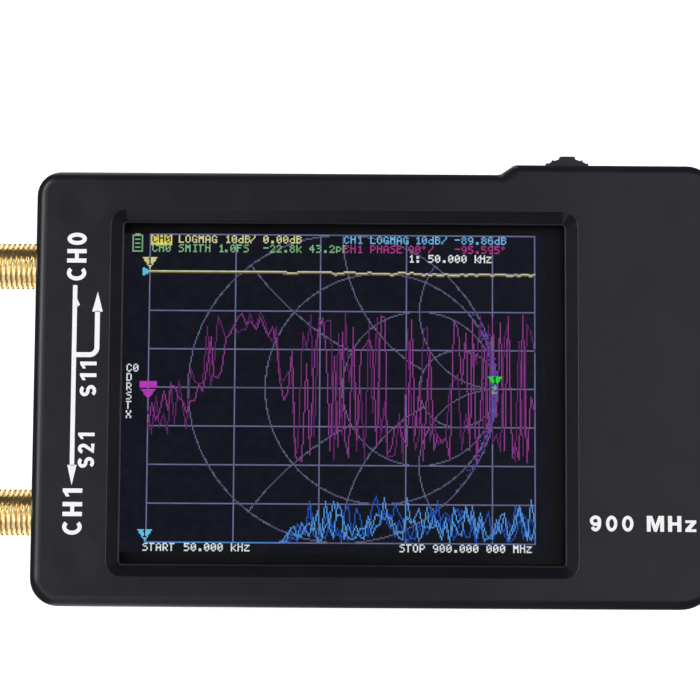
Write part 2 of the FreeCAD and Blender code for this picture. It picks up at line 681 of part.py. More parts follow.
def usb_socket():
    """Steel shell, plastic back and tongue, and the contacts on the tongue."""
    back = "usb_front - usb_length"
    under = "board_under - usb_height"
    inner_width = "usb_width - 2 * usb_wall"
    inner_height = "usb_height - 2 * usb_wall"
    shell = flat_tube(back, "usb_middle", under, "usb_length", "usb_width", "usb_height")
    room = flat_tube(back, "usb_middle", f"{under} + usb_wall", "usb_length", inner_width, inner_height)
    node("usb_shell", cut(shell, room))
    plug_stop = flat_tube(back, "usb_middle", f"{under} + usb_wall", "usb_back_thick",
                          inner_width, inner_height)
    tongue = block(f"{back} + usb_back_thick / 2", "usb_middle - tongue_width / 2",
                   f"{under} + usb_height / 2 - tongue_thick / 2",
                   "usb_back_thick / 2 + tongue_length", "tongue_width", "tongue_thick")
    node("usb_tongue", fuse(plug_stop, tongue))
    contacts = []
    for step in range(SIZES["usb_contact_count"]):
        across = (f"usb_middle + usb_contact_pitch * ({step} - (usb_contact_count - 1) / 2)"
                  " - usb_contact_width / 2")
        for height in (f"{under} + usb_height / 2 + tongue_thick / 2",
                       f"{under} + usb_height / 2 - tongue_thick / 2 - usb_contact_thick"):
            contacts.append(block(f"{back} + usb_back_thick", across, height,
                                  "usb_contact_length", "usb_contact_width", "usb_contact_thick"))
    node("usb_contacts", group(*contacts))


# ---- jog switch ----------------------------------------------------------

JOG_UNDER = "board_under - housing_height"
JOG_MIDDLE_HEIGHT = "board_under - housing_height / 2"


def jog_housing():
    """Can on the board's back face, open to the front, with a snap dome at its back."""
    left = "jog_middle - housing_length / 2"
    back = "housing_front - housing_depth"
    shell = block(left, back, JOG_UNDER, "housing_length", "housing_depth", "housing_height")
    room = block(f"{left} + housing_wall", f"{back} + housing_wall", f"{JOG_UNDER} + housing_wall",
                 "housing_length - 2 * housing_wall", "housing_depth - housing_wall",
                 "housing_height - 2 * housing_wall")
    node("jog_housing", cut(shell, room))
    wide = rod("jog_middle", f"{back} + housing_wall", JOG_MIDDLE_HEIGHT, "dome_radius / 1.3",
               "dome_rise / 2", (0, 1, 0))
    narrow = rod("jog_middle", f"{back} + housing_wall", JOG_MIDDLE_HEIGHT, "dome_radius / 2",
                 "dome_rise", (0, 1, 0))
    node("jog_dome", fuse(wide, narrow))
    terminals = [block(f"jog_middle + jog_terminal_pitch * {step} - terminal_width / 2",
                       f"{back} - terminal_length", "board_under - terminal_thick",
                       "terminal_width", "terminal_length", "terminal_thick")
                 for step in (-2, -1, 0, 1, 2)]
    node("jog_terminals", group(*terminals))


def jog_carrier():
    """Slider that moves into the housing, with two ears that hold the lever's pin."""
    thick = "housing_height - 2 * housing_wall - 2 * carrier_gap"
    under = f"{JOG_UNDER} + housing_wall + carrier_gap"
    plate = block("jog_middle - carrier_length / 2", "carrier_front - carrier_depth", under,
                  "carrier_length", "carrier_depth", thick)
    arm = block("jog_middle - ear_radius", "carrier_front - carrier_depth / 2", under,
                "2 * ear_radius", "jog_pivot - carrier_front + carrier_depth / 2", thick)
    tip = rod("jog_middle", "jog_pivot", under, "ear_radius", thick)
    slot = block("jog_middle - 2 * ear_radius", "jog_pivot - ear_radius - ear_clearance",
                 f"{JOG_MIDDLE_HEIGHT} - ear_gap / 2", "4 * ear_radius", "3 * ear_radius", "ear_gap")
    hole = rod("jog_middle", "jog_pivot", under, "pin_radius", thick)
    node("jog_carrier", cut(fuse(plate, arm, tip), slot, hole))
    node("jog_pin", rod("jog_middle", "jog_pivot", under, "pin_radius", thick))


def jog_lever():
    """Fan with a square crown and two ribs on each shoulder, tilted either way or pushed in."""
    lever = body("jog_lever")
    move(lever, "jog_middle", "jog_pivot", JOG_MIDDLE_HEIGHT)
    rib_half = SIZES["rib_half_turn"]
    rib_turns = [SIZES["rib_turn"] + SIZES["rib_spacing_turn"] * step for step in (0, 1)]
    reach = rib_turns[-1] + rib_half

    def polar(radius, angle):
        """Give a point at an angle from the lever's middle line."""
        turn = math.radians(angle)
        return f"({radius}) * {math.sin(turn):.6f}", f"({radius}) * {math.cos(turn):.6f}"

    shoulder = [("crown_half", "crown_reach"), polar("lever_radius", SIZES["crown_foot_turn"])]
    for middle in rib_turns:
        shoulder.append(polar("lever_radius", middle - rib_half))
        shoulder.append(polar("lever_radius + rib_rise", middle - rib_half / 2))
        shoulder.append(polar("lever_radius + rib_rise", middle + rib_half / 2))
        shoulder.append(polar("lever_radius", middle + rib_half))
    other_shoulder = [(f"-({x})", y) for x, y in reversed(shoulder)]
    rim = other_shoulder + shoulder
    inner = [polar("lever_inner", angle) for angle in (reach, 0, -reach)]
    head = sketch(lever, "XY_Plane", "-lever_thick / 2")
    outline(head, rim + inner)
    add(lever, head, "lever_thick")
    half = SIZES["lever_thick"] / 2
    top_edge = level_edge(half)
    bottom_edge = level_edge(-half)
    dress(lever, "Fillet", lambda shape, edge: top_edge(shape, edge) or bottom_edge(shape, edge),
          Radius="lever_edge_round")
    web = sketch(lever, "XY_Plane", "-lever_web / 2")
    rectangle(web, "-hub_radius", "0", "2 * hub_radius", "lever_inner + web_overlap")
    add(lever, web, "lever_web")
    hub = sketch(lever, "XY_Plane", "-lever_web / 2")
    circle(hub, "0", "0", "hub_radius")
    add(lever, hub, "lever_web")
    bore = sketch(lever, "XY_Plane", "-lever_web / 2")
    circle(bore, "0", "0", "pin_radius + pin_clearance")
    remove(lever, bore, "lever_web", reversed=True)


# ---- power switch --------------------------------------------------------

def power_switch():
    """Slide switch on the board's right edge, with its knob in the wall's opening."""
    under = "board_under - power_height"
    back = "power_front - power_depth"
    low = "power_middle - power_length / 2"
    shell = block(back, low, under, "power_depth", "power_length", "power_height - power_base_thick")
    room = block(f"{back} + power_wall", f"{low} + power_wall", f"{under} + power_wall",
                 "power_depth - 2 * power_wall", "power_length - 2 * power_wall", "power_height")
    slot = block("power_front - power_wall", "power_middle - slider_length / 2 - slider_gap",
                 f"{under} + power_wall", "power_wall", "slider_length + 2 * slider_gap",
                 "power_height - power_base_thick - power_wall")
    node("power_switch_shell", cut(shell, room, slot))
    node("power_switch_base", block(back, low, "board_under - power_base_thick",
                                    "power_depth", "power_length", "power_base_thick"))
    room_height = "power_height - power_base_thick - power_wall - 2 * slider_gap"
    start = "power_middle - power_travel / 2"
    slide = block("power_front - power_wall - slider_depth - slider_gap", f"{start} - slider_length / 2",
                  f"{under} + power_wall + slider_gap", "slider_depth", "slider_length", room_height)
    knob = block("power_front - power_wall - slider_depth / 2", f"{start} - knob_length / 2",
                 f"{under} + power_wall + slider_gap",
                 "knob_front - power_front + power_wall + slider_depth / 2", "knob_length", "knob_height")
    node("power_slider", fuse(slide, knob))
    terminals = [block(f"{back} - terminal_length",
                       f"power_middle + power_terminal_pitch * {step} - terminal_width / 2",
                       "board_under - terminal_thick", "terminal_length", "terminal_width", "terminal_thick")
                 for step in (-1, 0, 1)]
    node("power_terminals", group(*terminals))


# ---- battery -------------------------------------------------------------

def battery():
    """Pouch cell on a strip of tape, in its cradle on the rear shell's floor."""
    cell = body("battery_cell")
    drawing = sketch(cell, "XY_Plane", "floor_thick + tape_thick")
    rectangle(drawing, "battery_left", "battery_low", "battery_length", "battery_width")
    add(cell, drawing, "battery_thick")
    dress(cell, "Fillet", along("X"), Radius="battery_round")
    node("battery_tape", block("battery_left + tape_margin", "battery_low + tape_margin", "floor_thick",
                               "battery_length - 2 * tape_margin", "battery_width - 2 * tape_margin",
                               "tape_thick"))


def battery_plug():
    """Two-pole plug pushed into a header under the board."""
    middle_height = "board_under - plug_depth / 2"
    node("battery_plug", block("plug_left", "lead_middle - plug_width / 2",
                               f"{middle_height} - plug_height / 2",
                               "plug_length", "plug_width", "plug_height"))
    shell = block("plug_left + plug_length / 3", "lead_middle - plug_width / 2 - header_wall",
                  "board_under - plug_depth", "header_length", "plug_width + 2 * header_wall", "plug_depth")
    mouth = block("plug_left", "lead_middle - plug_width / 2", f"{middle_height} - plug_height / 2",
                  "plug_length", "plug_width", "plug_height")
    node("battery_header", cut(shell, mouth))


def battery_lead(name, side):
    """One insulated wire from the cell's end up to the plug, with two round bends."""
    radius = SIZES["lead_radius"]
    start = FreeCAD.Vector(SIZES["battery_left"] + SIZES["battery_length"],
                           SIZES["lead_middle"] + side * SIZES["lead_spacing"] / 2, SIZES["lead_height"])
    end = FreeCAD.Vector(SIZES["plug_left"], start.y, SIZES["board_under"] - SIZES["plug_depth"] / 2)
    middle = (start + end) / 2
    climb = end.z - start.z
    slack = (end.x - start.x) / 2 - climb / 2
    first = FreeCAD.Vector(start.x + slack, start.y, start.z)
    last = FreeCAD.Vector(end.x - slack, end.y, end.z)
    bend = climb / 2
    knee = bend * math.sin(math.pi / 4)
    lift = bend * (1 - math.cos(math.pi / 4))
    arcs = [
        Part.Arc(first, first + FreeCAD.Vector(knee, 0, lift), middle),
        Part.Arc(middle, last - FreeCAD.Vector(knee, 0, lift), last),
    ]
    path = Part.Wire([Part.LineSegment(start, first).toShape(), arcs[0].toShape(),
                      arcs[1].toShape(), Part.LineSegment(last, end).toShape()])
    section = Part.Wire(Part.makeCircle(radius, start, FreeCAD.Vector(1, 0, 0)))
    lead = document.addObject("Part::Feature", name)
    lead.Shape = path.makePipeShell([section], True, False)
    lead.Placement = FreeCAD.Placement()
    node(name, lead)


# ---- build, check and write ----------------------------------------------

def check(items):
    """Stop if any object failed or any sub-part's shape is empty or broken."""
    for item in document.Objects:
        if "Invalid" in item.State or "Error" in item.State:
            raise RuntimeError(f"{item.Label} failed: {item.State}")
    for item in items:
        if item.Shape.isNull() or not item.Shape.isValid() or not item.Shape.Solids:
            raise RuntimeError(item.Label + " has no valid shape")


def write(items):
    """Write each sub-part to a file that has its name."""
    os.makedirs("parts", exist_ok=True)
    for item in items:
        item.Shape.exportStep(f"parts/{item.Label}.step")
    print(f"{len(items)} sub-parts written")


fill_sheet()
front_shell()
rear_shell()
case_screws()
display()
lcd_flex_cable()
main_board()
board_chips()
small_parts()
receivers()
jacks()
usb_socket()
jog_housing()
jog_carrier()
jog_lever()
power_switch()
battery()
battery_plug()
battery_lead("battery_lead_red", 1)
battery_lead("battery_lead_black", -1)
document.recompute()
check(nodes)
write(nodes)
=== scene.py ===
import json
import math
import random

import bmesh
import bpy
from mathutils import Matrix, Vector


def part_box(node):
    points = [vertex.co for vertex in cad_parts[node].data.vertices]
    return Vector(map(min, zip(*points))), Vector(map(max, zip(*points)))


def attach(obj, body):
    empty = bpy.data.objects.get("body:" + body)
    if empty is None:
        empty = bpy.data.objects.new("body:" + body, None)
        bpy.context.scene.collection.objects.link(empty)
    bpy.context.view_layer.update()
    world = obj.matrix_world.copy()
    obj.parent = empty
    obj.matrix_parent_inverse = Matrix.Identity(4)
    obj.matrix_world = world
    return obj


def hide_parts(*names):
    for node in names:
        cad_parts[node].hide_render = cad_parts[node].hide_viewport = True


# A handheld vector network analyzer, face up.  The CAD frame gives the case,
# the display stack and all that is inside; this script gives every node its
# material, cuts real helical threads on the two jacks, lays a fine bead along
# the foot of the window's bevel, prints the legends on the case and lights the
# display's picture dot by dot.  Lengths are in metres.

MM = 0.001

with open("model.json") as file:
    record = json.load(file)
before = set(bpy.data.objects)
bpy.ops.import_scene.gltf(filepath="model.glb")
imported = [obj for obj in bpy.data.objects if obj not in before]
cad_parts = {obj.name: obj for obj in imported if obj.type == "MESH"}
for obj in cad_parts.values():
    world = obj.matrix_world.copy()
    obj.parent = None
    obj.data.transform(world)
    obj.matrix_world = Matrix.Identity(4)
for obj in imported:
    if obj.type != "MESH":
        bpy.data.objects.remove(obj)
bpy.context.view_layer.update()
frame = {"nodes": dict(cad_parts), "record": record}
nodes = frame["nodes"]


# ---- places read from the frame ------------------------------------------

front_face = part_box("front_shell")[1].z
cell_low, cell_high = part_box("lcd_cell")


# ---- small mesh tools ----------------------------------------------------

def piece(name, vertices, faces, body="root", smooth=False):
    """Make a mesh object from points and faces, and let it ride on a body."""
    mesh = bpy.data.meshes.new(name)
    mesh.from_pydata([tuple(vertex) for vertex in vertices], [], faces)
    mesh.validate()
    mesh.polygons.foreach_set("use_smooth", [smooth] * len(mesh.polygons))
    made = bpy.data.objects.new(name, mesh)
    bpy.context.scene.collection.objects.link(made)
    if body:
        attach(made, body)
    return made


def tube_faces(rings, sides):
    """Faces that join each ring of points to the next, and the last ring to the first."""
    faces = []
    for ring in range(rings):
        here = ring * sides
        there = (ring + 1) % rings * sides
        for side in range(sides):
            beside = (side + 1) % sides
            faces.append((here + side, there + side, there + beside, here + beside))
    return faces


def paint(target, finish):
    """Give an object one material."""
    target.data.materials.clear()
    target.data.materials.append(finish)


# ---- material tools ------------------------------------------------------

# The colour sockets of a mix node share their names, so they are told apart by place.
FIRST_COLOR = 6
SECOND_COLOR = 7
MIXED_COLOR = 2


def map_range(tree, value, start, end, low, high):
    """Node that carries one range of a value to another."""
    node = tree.nodes.new("ShaderNodeMapRange")
    for socket, number in zip(("From Min", "From Max", "To Min", "To Max"), (start, end, low, high)):
        node.inputs[socket].default_value = number
    tree.links.new(value, node.inputs["Value"])
    return node.outputs["Result"]


def math_node(tree, operation, *values):
    """Math node on linked values or plain numbers."""
    node = tree.nodes.new("ShaderNodeMath")
    node.operation = operation
    for value, socket in zip(values, node.inputs):
        if isinstance(value, float):
            socket.default_value = value
        else:
            tree.links.new(value, socket)
    return node.outputs[0]


class Finish:
    """A procedural material: one Principled shader and the nodes that feed it."""

    def __init__(self, name, color, roughness, metallic=0.0):
        self.material = bpy.data.materials.new(name)
        self.material.use_nodes = True
        self.tree = self.material.node_tree
        self.shader = self.tree.nodes["Principled BSDF"]
        self.set("Base Color", linear(color) + (1.0,))
        self.set("Roughness", roughness)
        self.set("Metallic", metallic)
        self.roughness = roughness
        self.where = self.add("ShaderNodeTexCoord").outputs["Object"]
        self.bumps = None

    def set(self, socket, value):
        """Set a constant on the shader."""
        self.shader.inputs[socket].default_value = value

    def add(self, kind, **settings):
        """Add a node; a setting is a property of the node or one of its inputs."""
        made = self.tree.nodes.new(kind)
        for key, value in settings.items():
            if hasattr(made, key):
                setattr(made, key, value)
            else:
                made.inputs[key.replace("_", " ")].default_value = value
        return made

    def link(self, source, target):
        """Join two sockets."""
        self.tree.links.new(source, target)

    def noise(self, grain, detail=2.0, stretch=None):
        """Noise whose features are about one grain across, in metres."""
        texture = self.add("ShaderNodeTexNoise", Scale=1.0 / grain, Detail=detail)
        source = self.where
        if stretch:
            mapping = self.add("ShaderNodeMapping")
            mapping.inputs["Scale"].default_value = stretch
            self.link(source, mapping.inputs["Vector"])
            source = mapping.outputs["Vector"]
        self.link(source, texture.inputs["Vector"])
        return texture.outputs["Fac"]

    def ramp(self, value, low, high, start, end):
        """Map a value from one range to another, clamped."""
        return map_range(self.tree, value, low, high, start, end)

    def mix(self, factor, first, second):
        """Mix two colours."""
        node = self.add("ShaderNodeMix", data_type="RGBA")
        node.inputs[FIRST_COLOR].default_value = linear(first) + (1.0,)
        node.inputs[SECOND_COLOR].default_value = linear(second) + (1.0,)
        self.link(factor, node.inputs["Factor"])
        return node.outputs[MIXED_COLOR]

    def blend_color(self, factor, first, second):
        """Colour the shader with a mix of two colours."""
        self.link(self.mix(factor, first, second), self.shader.inputs["Base Color"])
        return self

    def vary_color(self, grain, first, second, low=0.35, high=0.65):
        """Vary the colour between two tones in soft patches."""
        patches = self.ramp(self.noise(grain, 3.0), low, high, 0.0, 1.0)
        return self.blend_color(patches, first, second)

    def vary_roughness(self, grain, spread, stretch=None):
        """Vary the roughness about its own value."""
        source = self.noise(grain, 3.0, stretch)
        swing = self.ramp(source, 0.3, 0.7, self.roughness - spread, self.roughness + spread)
        self.link(swing, self.shader.inputs["Roughness"])
        return self

    def bump(self, height, depth):
        """Add a bump of a depth in metres to those already there."""
        node = self.add("ShaderNodeBump", Strength=1.0, Distance=depth)
        self.link(height, node.inputs["Height"])
        if self.bumps:
            self.link(self.bumps, node.inputs["Normal"])
        self.bumps = node.outputs["Normal"]
        self.link(self.bumps, self.shader.inputs["Normal"])
        return self

    def grain(self, size, depth, stretch=None):
        """Add a fine noise bump."""
        return self.bump(self.noise(size, 2.0, stretch), depth)


def linear(color):
    """Turn 0 to 255 screen values into linear light."""
    result = []
    for channel in color:
        value = channel / 255
        result.append(value / 12.92 if value <= 0.04045 else ((value + 0.055) / 1.055) ** 2.4)
    return tuple(result)


# ---- materials -----------------------------------------------------------

SCREW_HEAD_RADIUS = 1.9 * MM
SINK_CORE = 0.4 * MM
SINK_REACH = 3.2 * MM
SINK_DEPTH = 0.06 * MM


def case_plastic():
    """Spark-eroded black ABS with faint sink marks over the four screw posts."""
    finish = Finish("case_plastic", (22, 20, 28), 0.3)
    finish.set("Specular IOR Level", 0.36)
    finish.vary_color(9 * MM, (20, 18, 26), (25, 23, 31))
    finish.vary_roughness(2.2 * MM, 0.02)
    finish.grain(0.22 * MM, 0.004 * MM)
    finish.grain(0.9 * MM, 0.003 * MM)
    dip = finish.ramp(from_nearest_screw(finish), SINK_CORE, SINK_REACH, 0.0, 1.0)
    finish.bump(dip, SINK_DEPTH)
    return finish.material


def from_nearest_screw(finish):
    """Distance from the nearest screw's axis, seen from above."""
    low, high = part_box("case_screws")
    split = finish.add("ShaderNodeSeparateXYZ")
    finish.link(finish.where, split.inputs["Vector"])
    squares = []
    for axis, name in enumerate("XY"):
        middle = (low[axis] + high[axis]) / 2
        reach = (high[axis] - low[axis]) / 2 - SCREW_HEAD_RADIUS
        along = math_node(finish.tree, "SUBTRACT", split.outputs[name], middle)
        beyond = math_node(finish.tree, "SUBTRACT", math_node(finish.tree, "ABSOLUTE", along), reach)
        squares.append(math_node(finish.tree, "POWER", beyond, 2.0))
    return math_node(finish.tree, "SQRT", math_node(finish.tree, "ADD", *squares))


def black_plastic():
    """Smoother black plastic of the jog lever and the switch knob."""
    finish = Finish("black_plastic", (20, 20, 21), 0.4)
    finish.vary_color(1.5 * MM, (18, 18, 19), (24, 24, 26))
    finish.vary_roughness(0.8 * MM, 0.08)
    finish.grain(0.12 * MM, 0.006 * MM)
    return finish.material


def nylon():
    """Slightly translucent off-white nylon."""
    finish = Finish("light_plastic", (214, 206, 186), 0.5)
    finish.set("Subsurface Weight", 0.15)
    finish.set("Subsurface Scale", 0.5 * MM)
    finish.vary_color(2 * MM, (208, 200, 180), (220, 213, 195))
    finish.grain(0.15 * MM, 0.004 * MM)
    return finish.material


def white_plastic():
    """White moulded tray behind the display."""
    finish = Finish("white_plastic", (228, 228, 226), 0.42)
    finish.vary_color(6 * MM, (224, 224, 222), (234, 234, 232))
    finish.grain(0.2 * MM, 0.004 * MM)
    return finish.material


def gold_plate():
    """Gold-plated brass: brighter on rubbed places, darker and redder in patches."""
    finish = Finish("gold_plate", (252, 229, 172), 0.2, 1.0)
    finish.vary_color(0.9 * MM, (253, 232, 174), (245, 213, 156))
    finish.vary_roughness(0.5 * MM, 0.05, (0.3, 1.0, 1.0))
    finish.grain(0.08 * MM, 0.001 * MM, (1.0, 0.15, 0.15))
    return finish.material


def fluoropolymer():
    """White waxy insulator of the jacks."""
    finish = Finish("insulator_white", (232, 230, 222), 0.38)
    finish.set("Subsurface Weight", 0.3)
    finish.set("Subsurface Scale", 0.6 * MM)
    finish.vary_color(0.8 * MM, (226, 224, 214), (238, 236, 230))
    finish.grain(0.1 * MM, 0.003 * MM)
    return finish.material


def plated_steel():
    """Tin-plated sheet with a rolled grain."""
    finish = Finish("plated_steel", (196, 196, 192), 0.3, 1.0)
    finish.vary_color(3 * MM, (188, 188, 184), (206, 206, 203))
    finish.vary_roughness(1.2 * MM, 0.08, (0.1, 1.0, 1.0))
    finish.grain(0.1 * MM, 0.002 * MM, (0.08, 1.0, 1.0))
    return finish.material


def screw_steel():
    """Black-oxide steel of the case screws, rubbed bare in spots."""
    finish = Finish("screw_steel", (70, 70, 73), 0.36, 0.9)
    finish.vary_color(0.5 * MM, (52, 52, 55), (104, 103, 102), 0.5, 0.75)
    finish.vary_roughness(0.4 * MM, 0.1)
    finish.grain(0.1 * MM, 0.004 * MM)
    return finish.material


def foam():
    """Black closed-cell foam."""
    finish = Finish("foam_black", (34, 34, 35), 0.9)
    finish.vary_color(0.4 * MM, (26, 26, 27), (44, 44, 45))
    cells = finish.add("ShaderNodeTexVoronoi", Scale=1.0 / (0.35 * MM))
    finish.link(finish.where, cells.inputs["Vector"])
    finish.bump(cells.outputs["Distance"], 0.05 * MM)
    return finish.material


def touch_glass():
    """Clear hard-coated touch panel: dark tint, glossy, with faint smudges."""
    finish = Finish("touch_glass", (8, 8, 10), 0.14)
    finish.set("Alpha", 0.16)
    finish.set("Specular IOR Level", 0.12)
    finish.vary_roughness(7 * MM, 0.05)
    finish.grain(2.5 * MM, 0.001 * MM)
    finish.material.surface_render_method = "BLENDED"
    return finish.material


def display_mask():
    """Black border of the display under the touch panel."""
    finish = Finish("display_mask", (20, 20, 24), 0.3)
    finish.set("Specular IOR Level", 0.1)
    finish.vary_color(12 * MM, (18, 18, 22), (24, 24, 28))
    finish.grain(0.3 * MM, 0.001 * MM)
    return finish.material


def display_glass():
    """Dark glass of the display cell."""
    finish = Finish("display_glass", (20, 21, 26), 0.15)
    finish.vary_color(15 * MM, (18, 19, 24), (24, 25, 31))
    finish.vary_roughness(4 * MM, 0.04)
    return finish.material


def flex_film():
    """Amber polyimide with copper tracks showing through."""
    finish = Finish("flex_film", (176, 112, 40), 0.35)
    stripes = finish.add("ShaderNodeTexWave", Scale=1.0 / (5 * MM), bands_direction="Y")
    finish.link(finish.where, stripes.inputs["Vector"])
    between = finish.ramp(stripes.outputs["Fac"], 0.4, 0.6, 0.0, 1.0)
    finish.blend_color(between, (150, 92, 34), (196, 132, 60))
    finish.bump(stripes.outputs["Fac"], 0.01 * MM)
    return finish.material


def board_laminate():
    """Black-green solder mask with tracks and pads showing as raised lines."""
    finish = Finish("board_laminate", (14, 44, 30), 0.32)
    tracks = finish.add("ShaderNodeTexBrick", Scale=1.0 / (3 * MM), Mortar_Size=0.03)
    finish.link(finish.where, tracks.inputs["Vector"])
    between = finish.ramp(tracks.outputs["Fac"], 0.2, 0.8, 0.0, 1.0)
    finish.blend_color(between, (12, 40, 27), (26, 70, 44))
    finish.bump(tracks.outputs["Fac"], 0.02 * MM)
    finish.grain(0.3 * MM, 0.004 * MM)
    return finish.material


def chip_epoxy():
    """Matt grey-black moulding compound."""
    finish = Finish("chip_epoxy", (44, 44, 46), 0.62)
    finish.vary_color(0.6 * MM, (40, 40, 42), (52, 52, 54))
    finish.grain(0.06 * MM, 0.008 * MM)
    return finish.material


def ceramic():
    """Tan fired ceramic of the chip capacitors."""
    finish = Finish("ceramic_tan", (170, 132, 92), 0.55)
    finish.vary_color(0.7 * MM, (158, 120, 82), (184, 146, 104))
    finish.grain(0.08 * MM, 0.004 * MM)
    return finish.material


def battery_foil():
    """Creased satin pouch foil."""
    finish = Finish("battery_foil", (198, 198, 202), 0.38, 0.85)
    finish.vary_roughness(3 * MM, 0.08)
    finish.vary_color(5 * MM, (190, 190, 195), (206, 206, 210))
    finish.grain(2.5 * MM, 0.06 * MM)
    return finish.material


def tape():
    """White paper-backed tape with fibres."""
    finish = Finish("tape_white", (216, 214, 206), 0.8)
    finish.vary_color(1.5 * MM, (208, 205, 196), (224, 222, 215))
    finish.grain(0.15 * MM, 0.02 * MM, (0.2, 1.0, 1.0))
    return finish.material


def insulation(name, color, patch):
    """Soft silicone wire insulation."""
    finish = Finish(name, color, 0.55)
    finish.vary_color(1.2 * MM, color, patch)
    finish.grain(0.12 * MM, 0.004 * MM)
    return finish.material


def lamp_lens():
    """Milky lens of a status lamp."""
    finish = Finish("lamp_lens", (222, 228, 214), 0.2)
    finish.set("Subsurface Weight", 0.4)
    finish.set("Subsurface Scale", 0.3 * MM)
    finish.vary_color(0.3 * MM, (214, 222, 206), (232, 236, 226))
    return finish.material


def print_ink():
    """White pad-printed ink, a little uneven."""
    finish = Finish("print_ink", (252, 252, 254), 0.5)
    finish.vary_color(0.7 * MM, (247, 247, 251), (254, 254, 255))
    finish.grain(0.1 * MM, 0.004 * MM)
    return finish.material


def lit(name, color, patch=None):
    """Light of one colour for the display's dots; its patches, unless given, are a little dimmer."""
    finish = Finish(name, (0, 0, 0), 1.0)
    finish.set("Specular IOR Level", 0.0)
    patch = patch or [channel * 0.88 for channel in color]
    uneven = finish.ramp(finish.noise(1.4 * MM), 0.3, 0.7, 0.0, 1.0)
    finish.link(finish.mix(uneven, color, patch), finish.shader.inputs["Emission Color"])
    finish.set("Emission Strength", 1.0)
    return finish.material


SLOT_FINISHES = {
    "case_plastic": case_plastic,
    "black_plastic": black_plastic,
    "light_plastic": nylon,
    "white_plastic": white_plastic,
    "gold_plate": gold_plate,
    "insulator_white": fluoropolymer,
    "plated_steel": plated_steel,
    "screw_steel": screw_steel,
    "foam_black": foam,
    "touch_glass": touch_glass,
    "display_glass": display_glass,
    "flex_film": flex_film,
    "board_laminate": board_laminate,
    "chip_epoxy": chip_epoxy,
    "ceramic_tan": ceramic,
    "battery_foil": battery_foil,
    "tape_white": tape,
    "wire_red": lambda: insulation("wire_red", (176, 28, 26), (158, 22, 22)),
    "wire_black": lambda: insulation("wire_black", (30, 30, 31), (40, 40, 41)),
    "lamp_lens": lamp_lens,
}


def paint_nodes():
    """Give every CAD node the finish of its material slot."""
    finishes = {slot: make() for slot, make in SLOT_FINISHES.items()}
    for entry in frame["record"]["subparts"]:
        paint(nodes[entry["node"]], finishes[entry["material_slot"]])
    return finishes


# ---- jacks with real threads ---------------------------------------------

THREAD_PITCH = 0.7056 * MM
THREAD_RADIUS = 3.175 * MM
THREAD_DEPTH = 0.27 * MM
CREST_PART = 0.6
RUN_OUT = 0.4 * THREAD_PITCH
STEPS_PER_PITCH = 14
NECK_RADIUS = THREAD_RADIUS - 0.42 * MM
NECK_LENGTH = 2.0 * MM
MOUTH_CHAMFER = 0.45 * MM
BORE_CHAMFER = 0.25 * MM
SHARP_ANGLE = math.radians(38)

FLANGE_THICK = 2.0 * MM
FLANGE_HALF = 3.1 * MM
LEG_SIDE = 1.0 * MM
LEG_OFFSET = 2.1 * MM

RING = 72
TURNS = [2 * math.pi * side / RING for side in range(RING)]


def thread_radius(along, turn, start, end):
    """Radius at one place: broad crests, narrow round valleys, running out at both ends."""
    phase = (along / THREAD_PITCH - turn / (2 * math.pi)) % 1.0
    wedge = abs(phase - 0.5) * 2
    into = min(max((1.0 - wedge - CREST_PART) / (1.0 - CREST_PART), 0.0), 1.0)
    cut = 0.5 - 0.5 * math.cos(math.pi * into)
    lead_in = min(max((along - start) / THREAD_PITCH, 0.0), 1.0)
    run_out = min(max((end - along) / RUN_OUT, 0.0), 1.0)
    return THREAD_RADIUS - THREAD_DEPTH * cut * lead_in * run_out


def jack_profile(bore, flange_face, mouth):
    """Rings out from the flange to the mouth and back down the bore: a place, and a radius per turn."""
    start = flange_face + NECK_LENGTH
    end = mouth - MOUTH_CHAMFER
    rings = [(flange_face, [NECK_RADIUS] * RING), (start, [NECK_RADIUS] * RING)]
    count = int((end - start) / THREAD_PITCH * STEPS_PER_PITCH)
    for step in range(count + 1):
        along = start + (end - start) * step / count
        rings.append((along, [thread_radius(along, turn, start, end) for turn in TURNS]))
    rings.append((mouth, [THREAD_RADIUS - MOUTH_CHAMFER] * RING))
    rings.append((mouth, [bore + BORE_CHAMFER] * RING))
    rings.append((mouth - BORE_CHAMFER, [bore] * RING))
    rings.append((flange_face, [bore] * RING))
    return rings


def jack(channel, gold):
    """Replace one CAD jack body with a threaded barrel, a flange and its four legs."""
    node = "jack_body_" + channel
    low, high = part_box(node)
    insulator_low, insulator_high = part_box("jack_insulator_" + channel)
    center = (insulator_low + insulator_high) / 2
    bore = (insulator_high.y - insulator_low.y) / 2
    board_edge = insulator_high.x
    flange_face = board_edge - FLANGE_THICK
    profile = jack_profile(bore, -flange_face, -low.x)
    vertices = []
    for along, radii in profile:
        for turn, radius in zip(TURNS, radii):
            y = center.y + radius * math.cos(turn)
            z = center.z + radius * math.sin(turn)
            vertices.append((-along, y, z))
    barrel = piece("jack_barrel_" + channel, vertices, tube_faces(len(profile), RING), smooth=True)
    barrel.data.set_sharp_from_angle(angle=SHARP_ANGLE)
    paint(barrel, gold)
    base = jack_base(channel, center, bore, board_edge, flange_face, high.x)
    paint(base, gold)
    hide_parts(node)


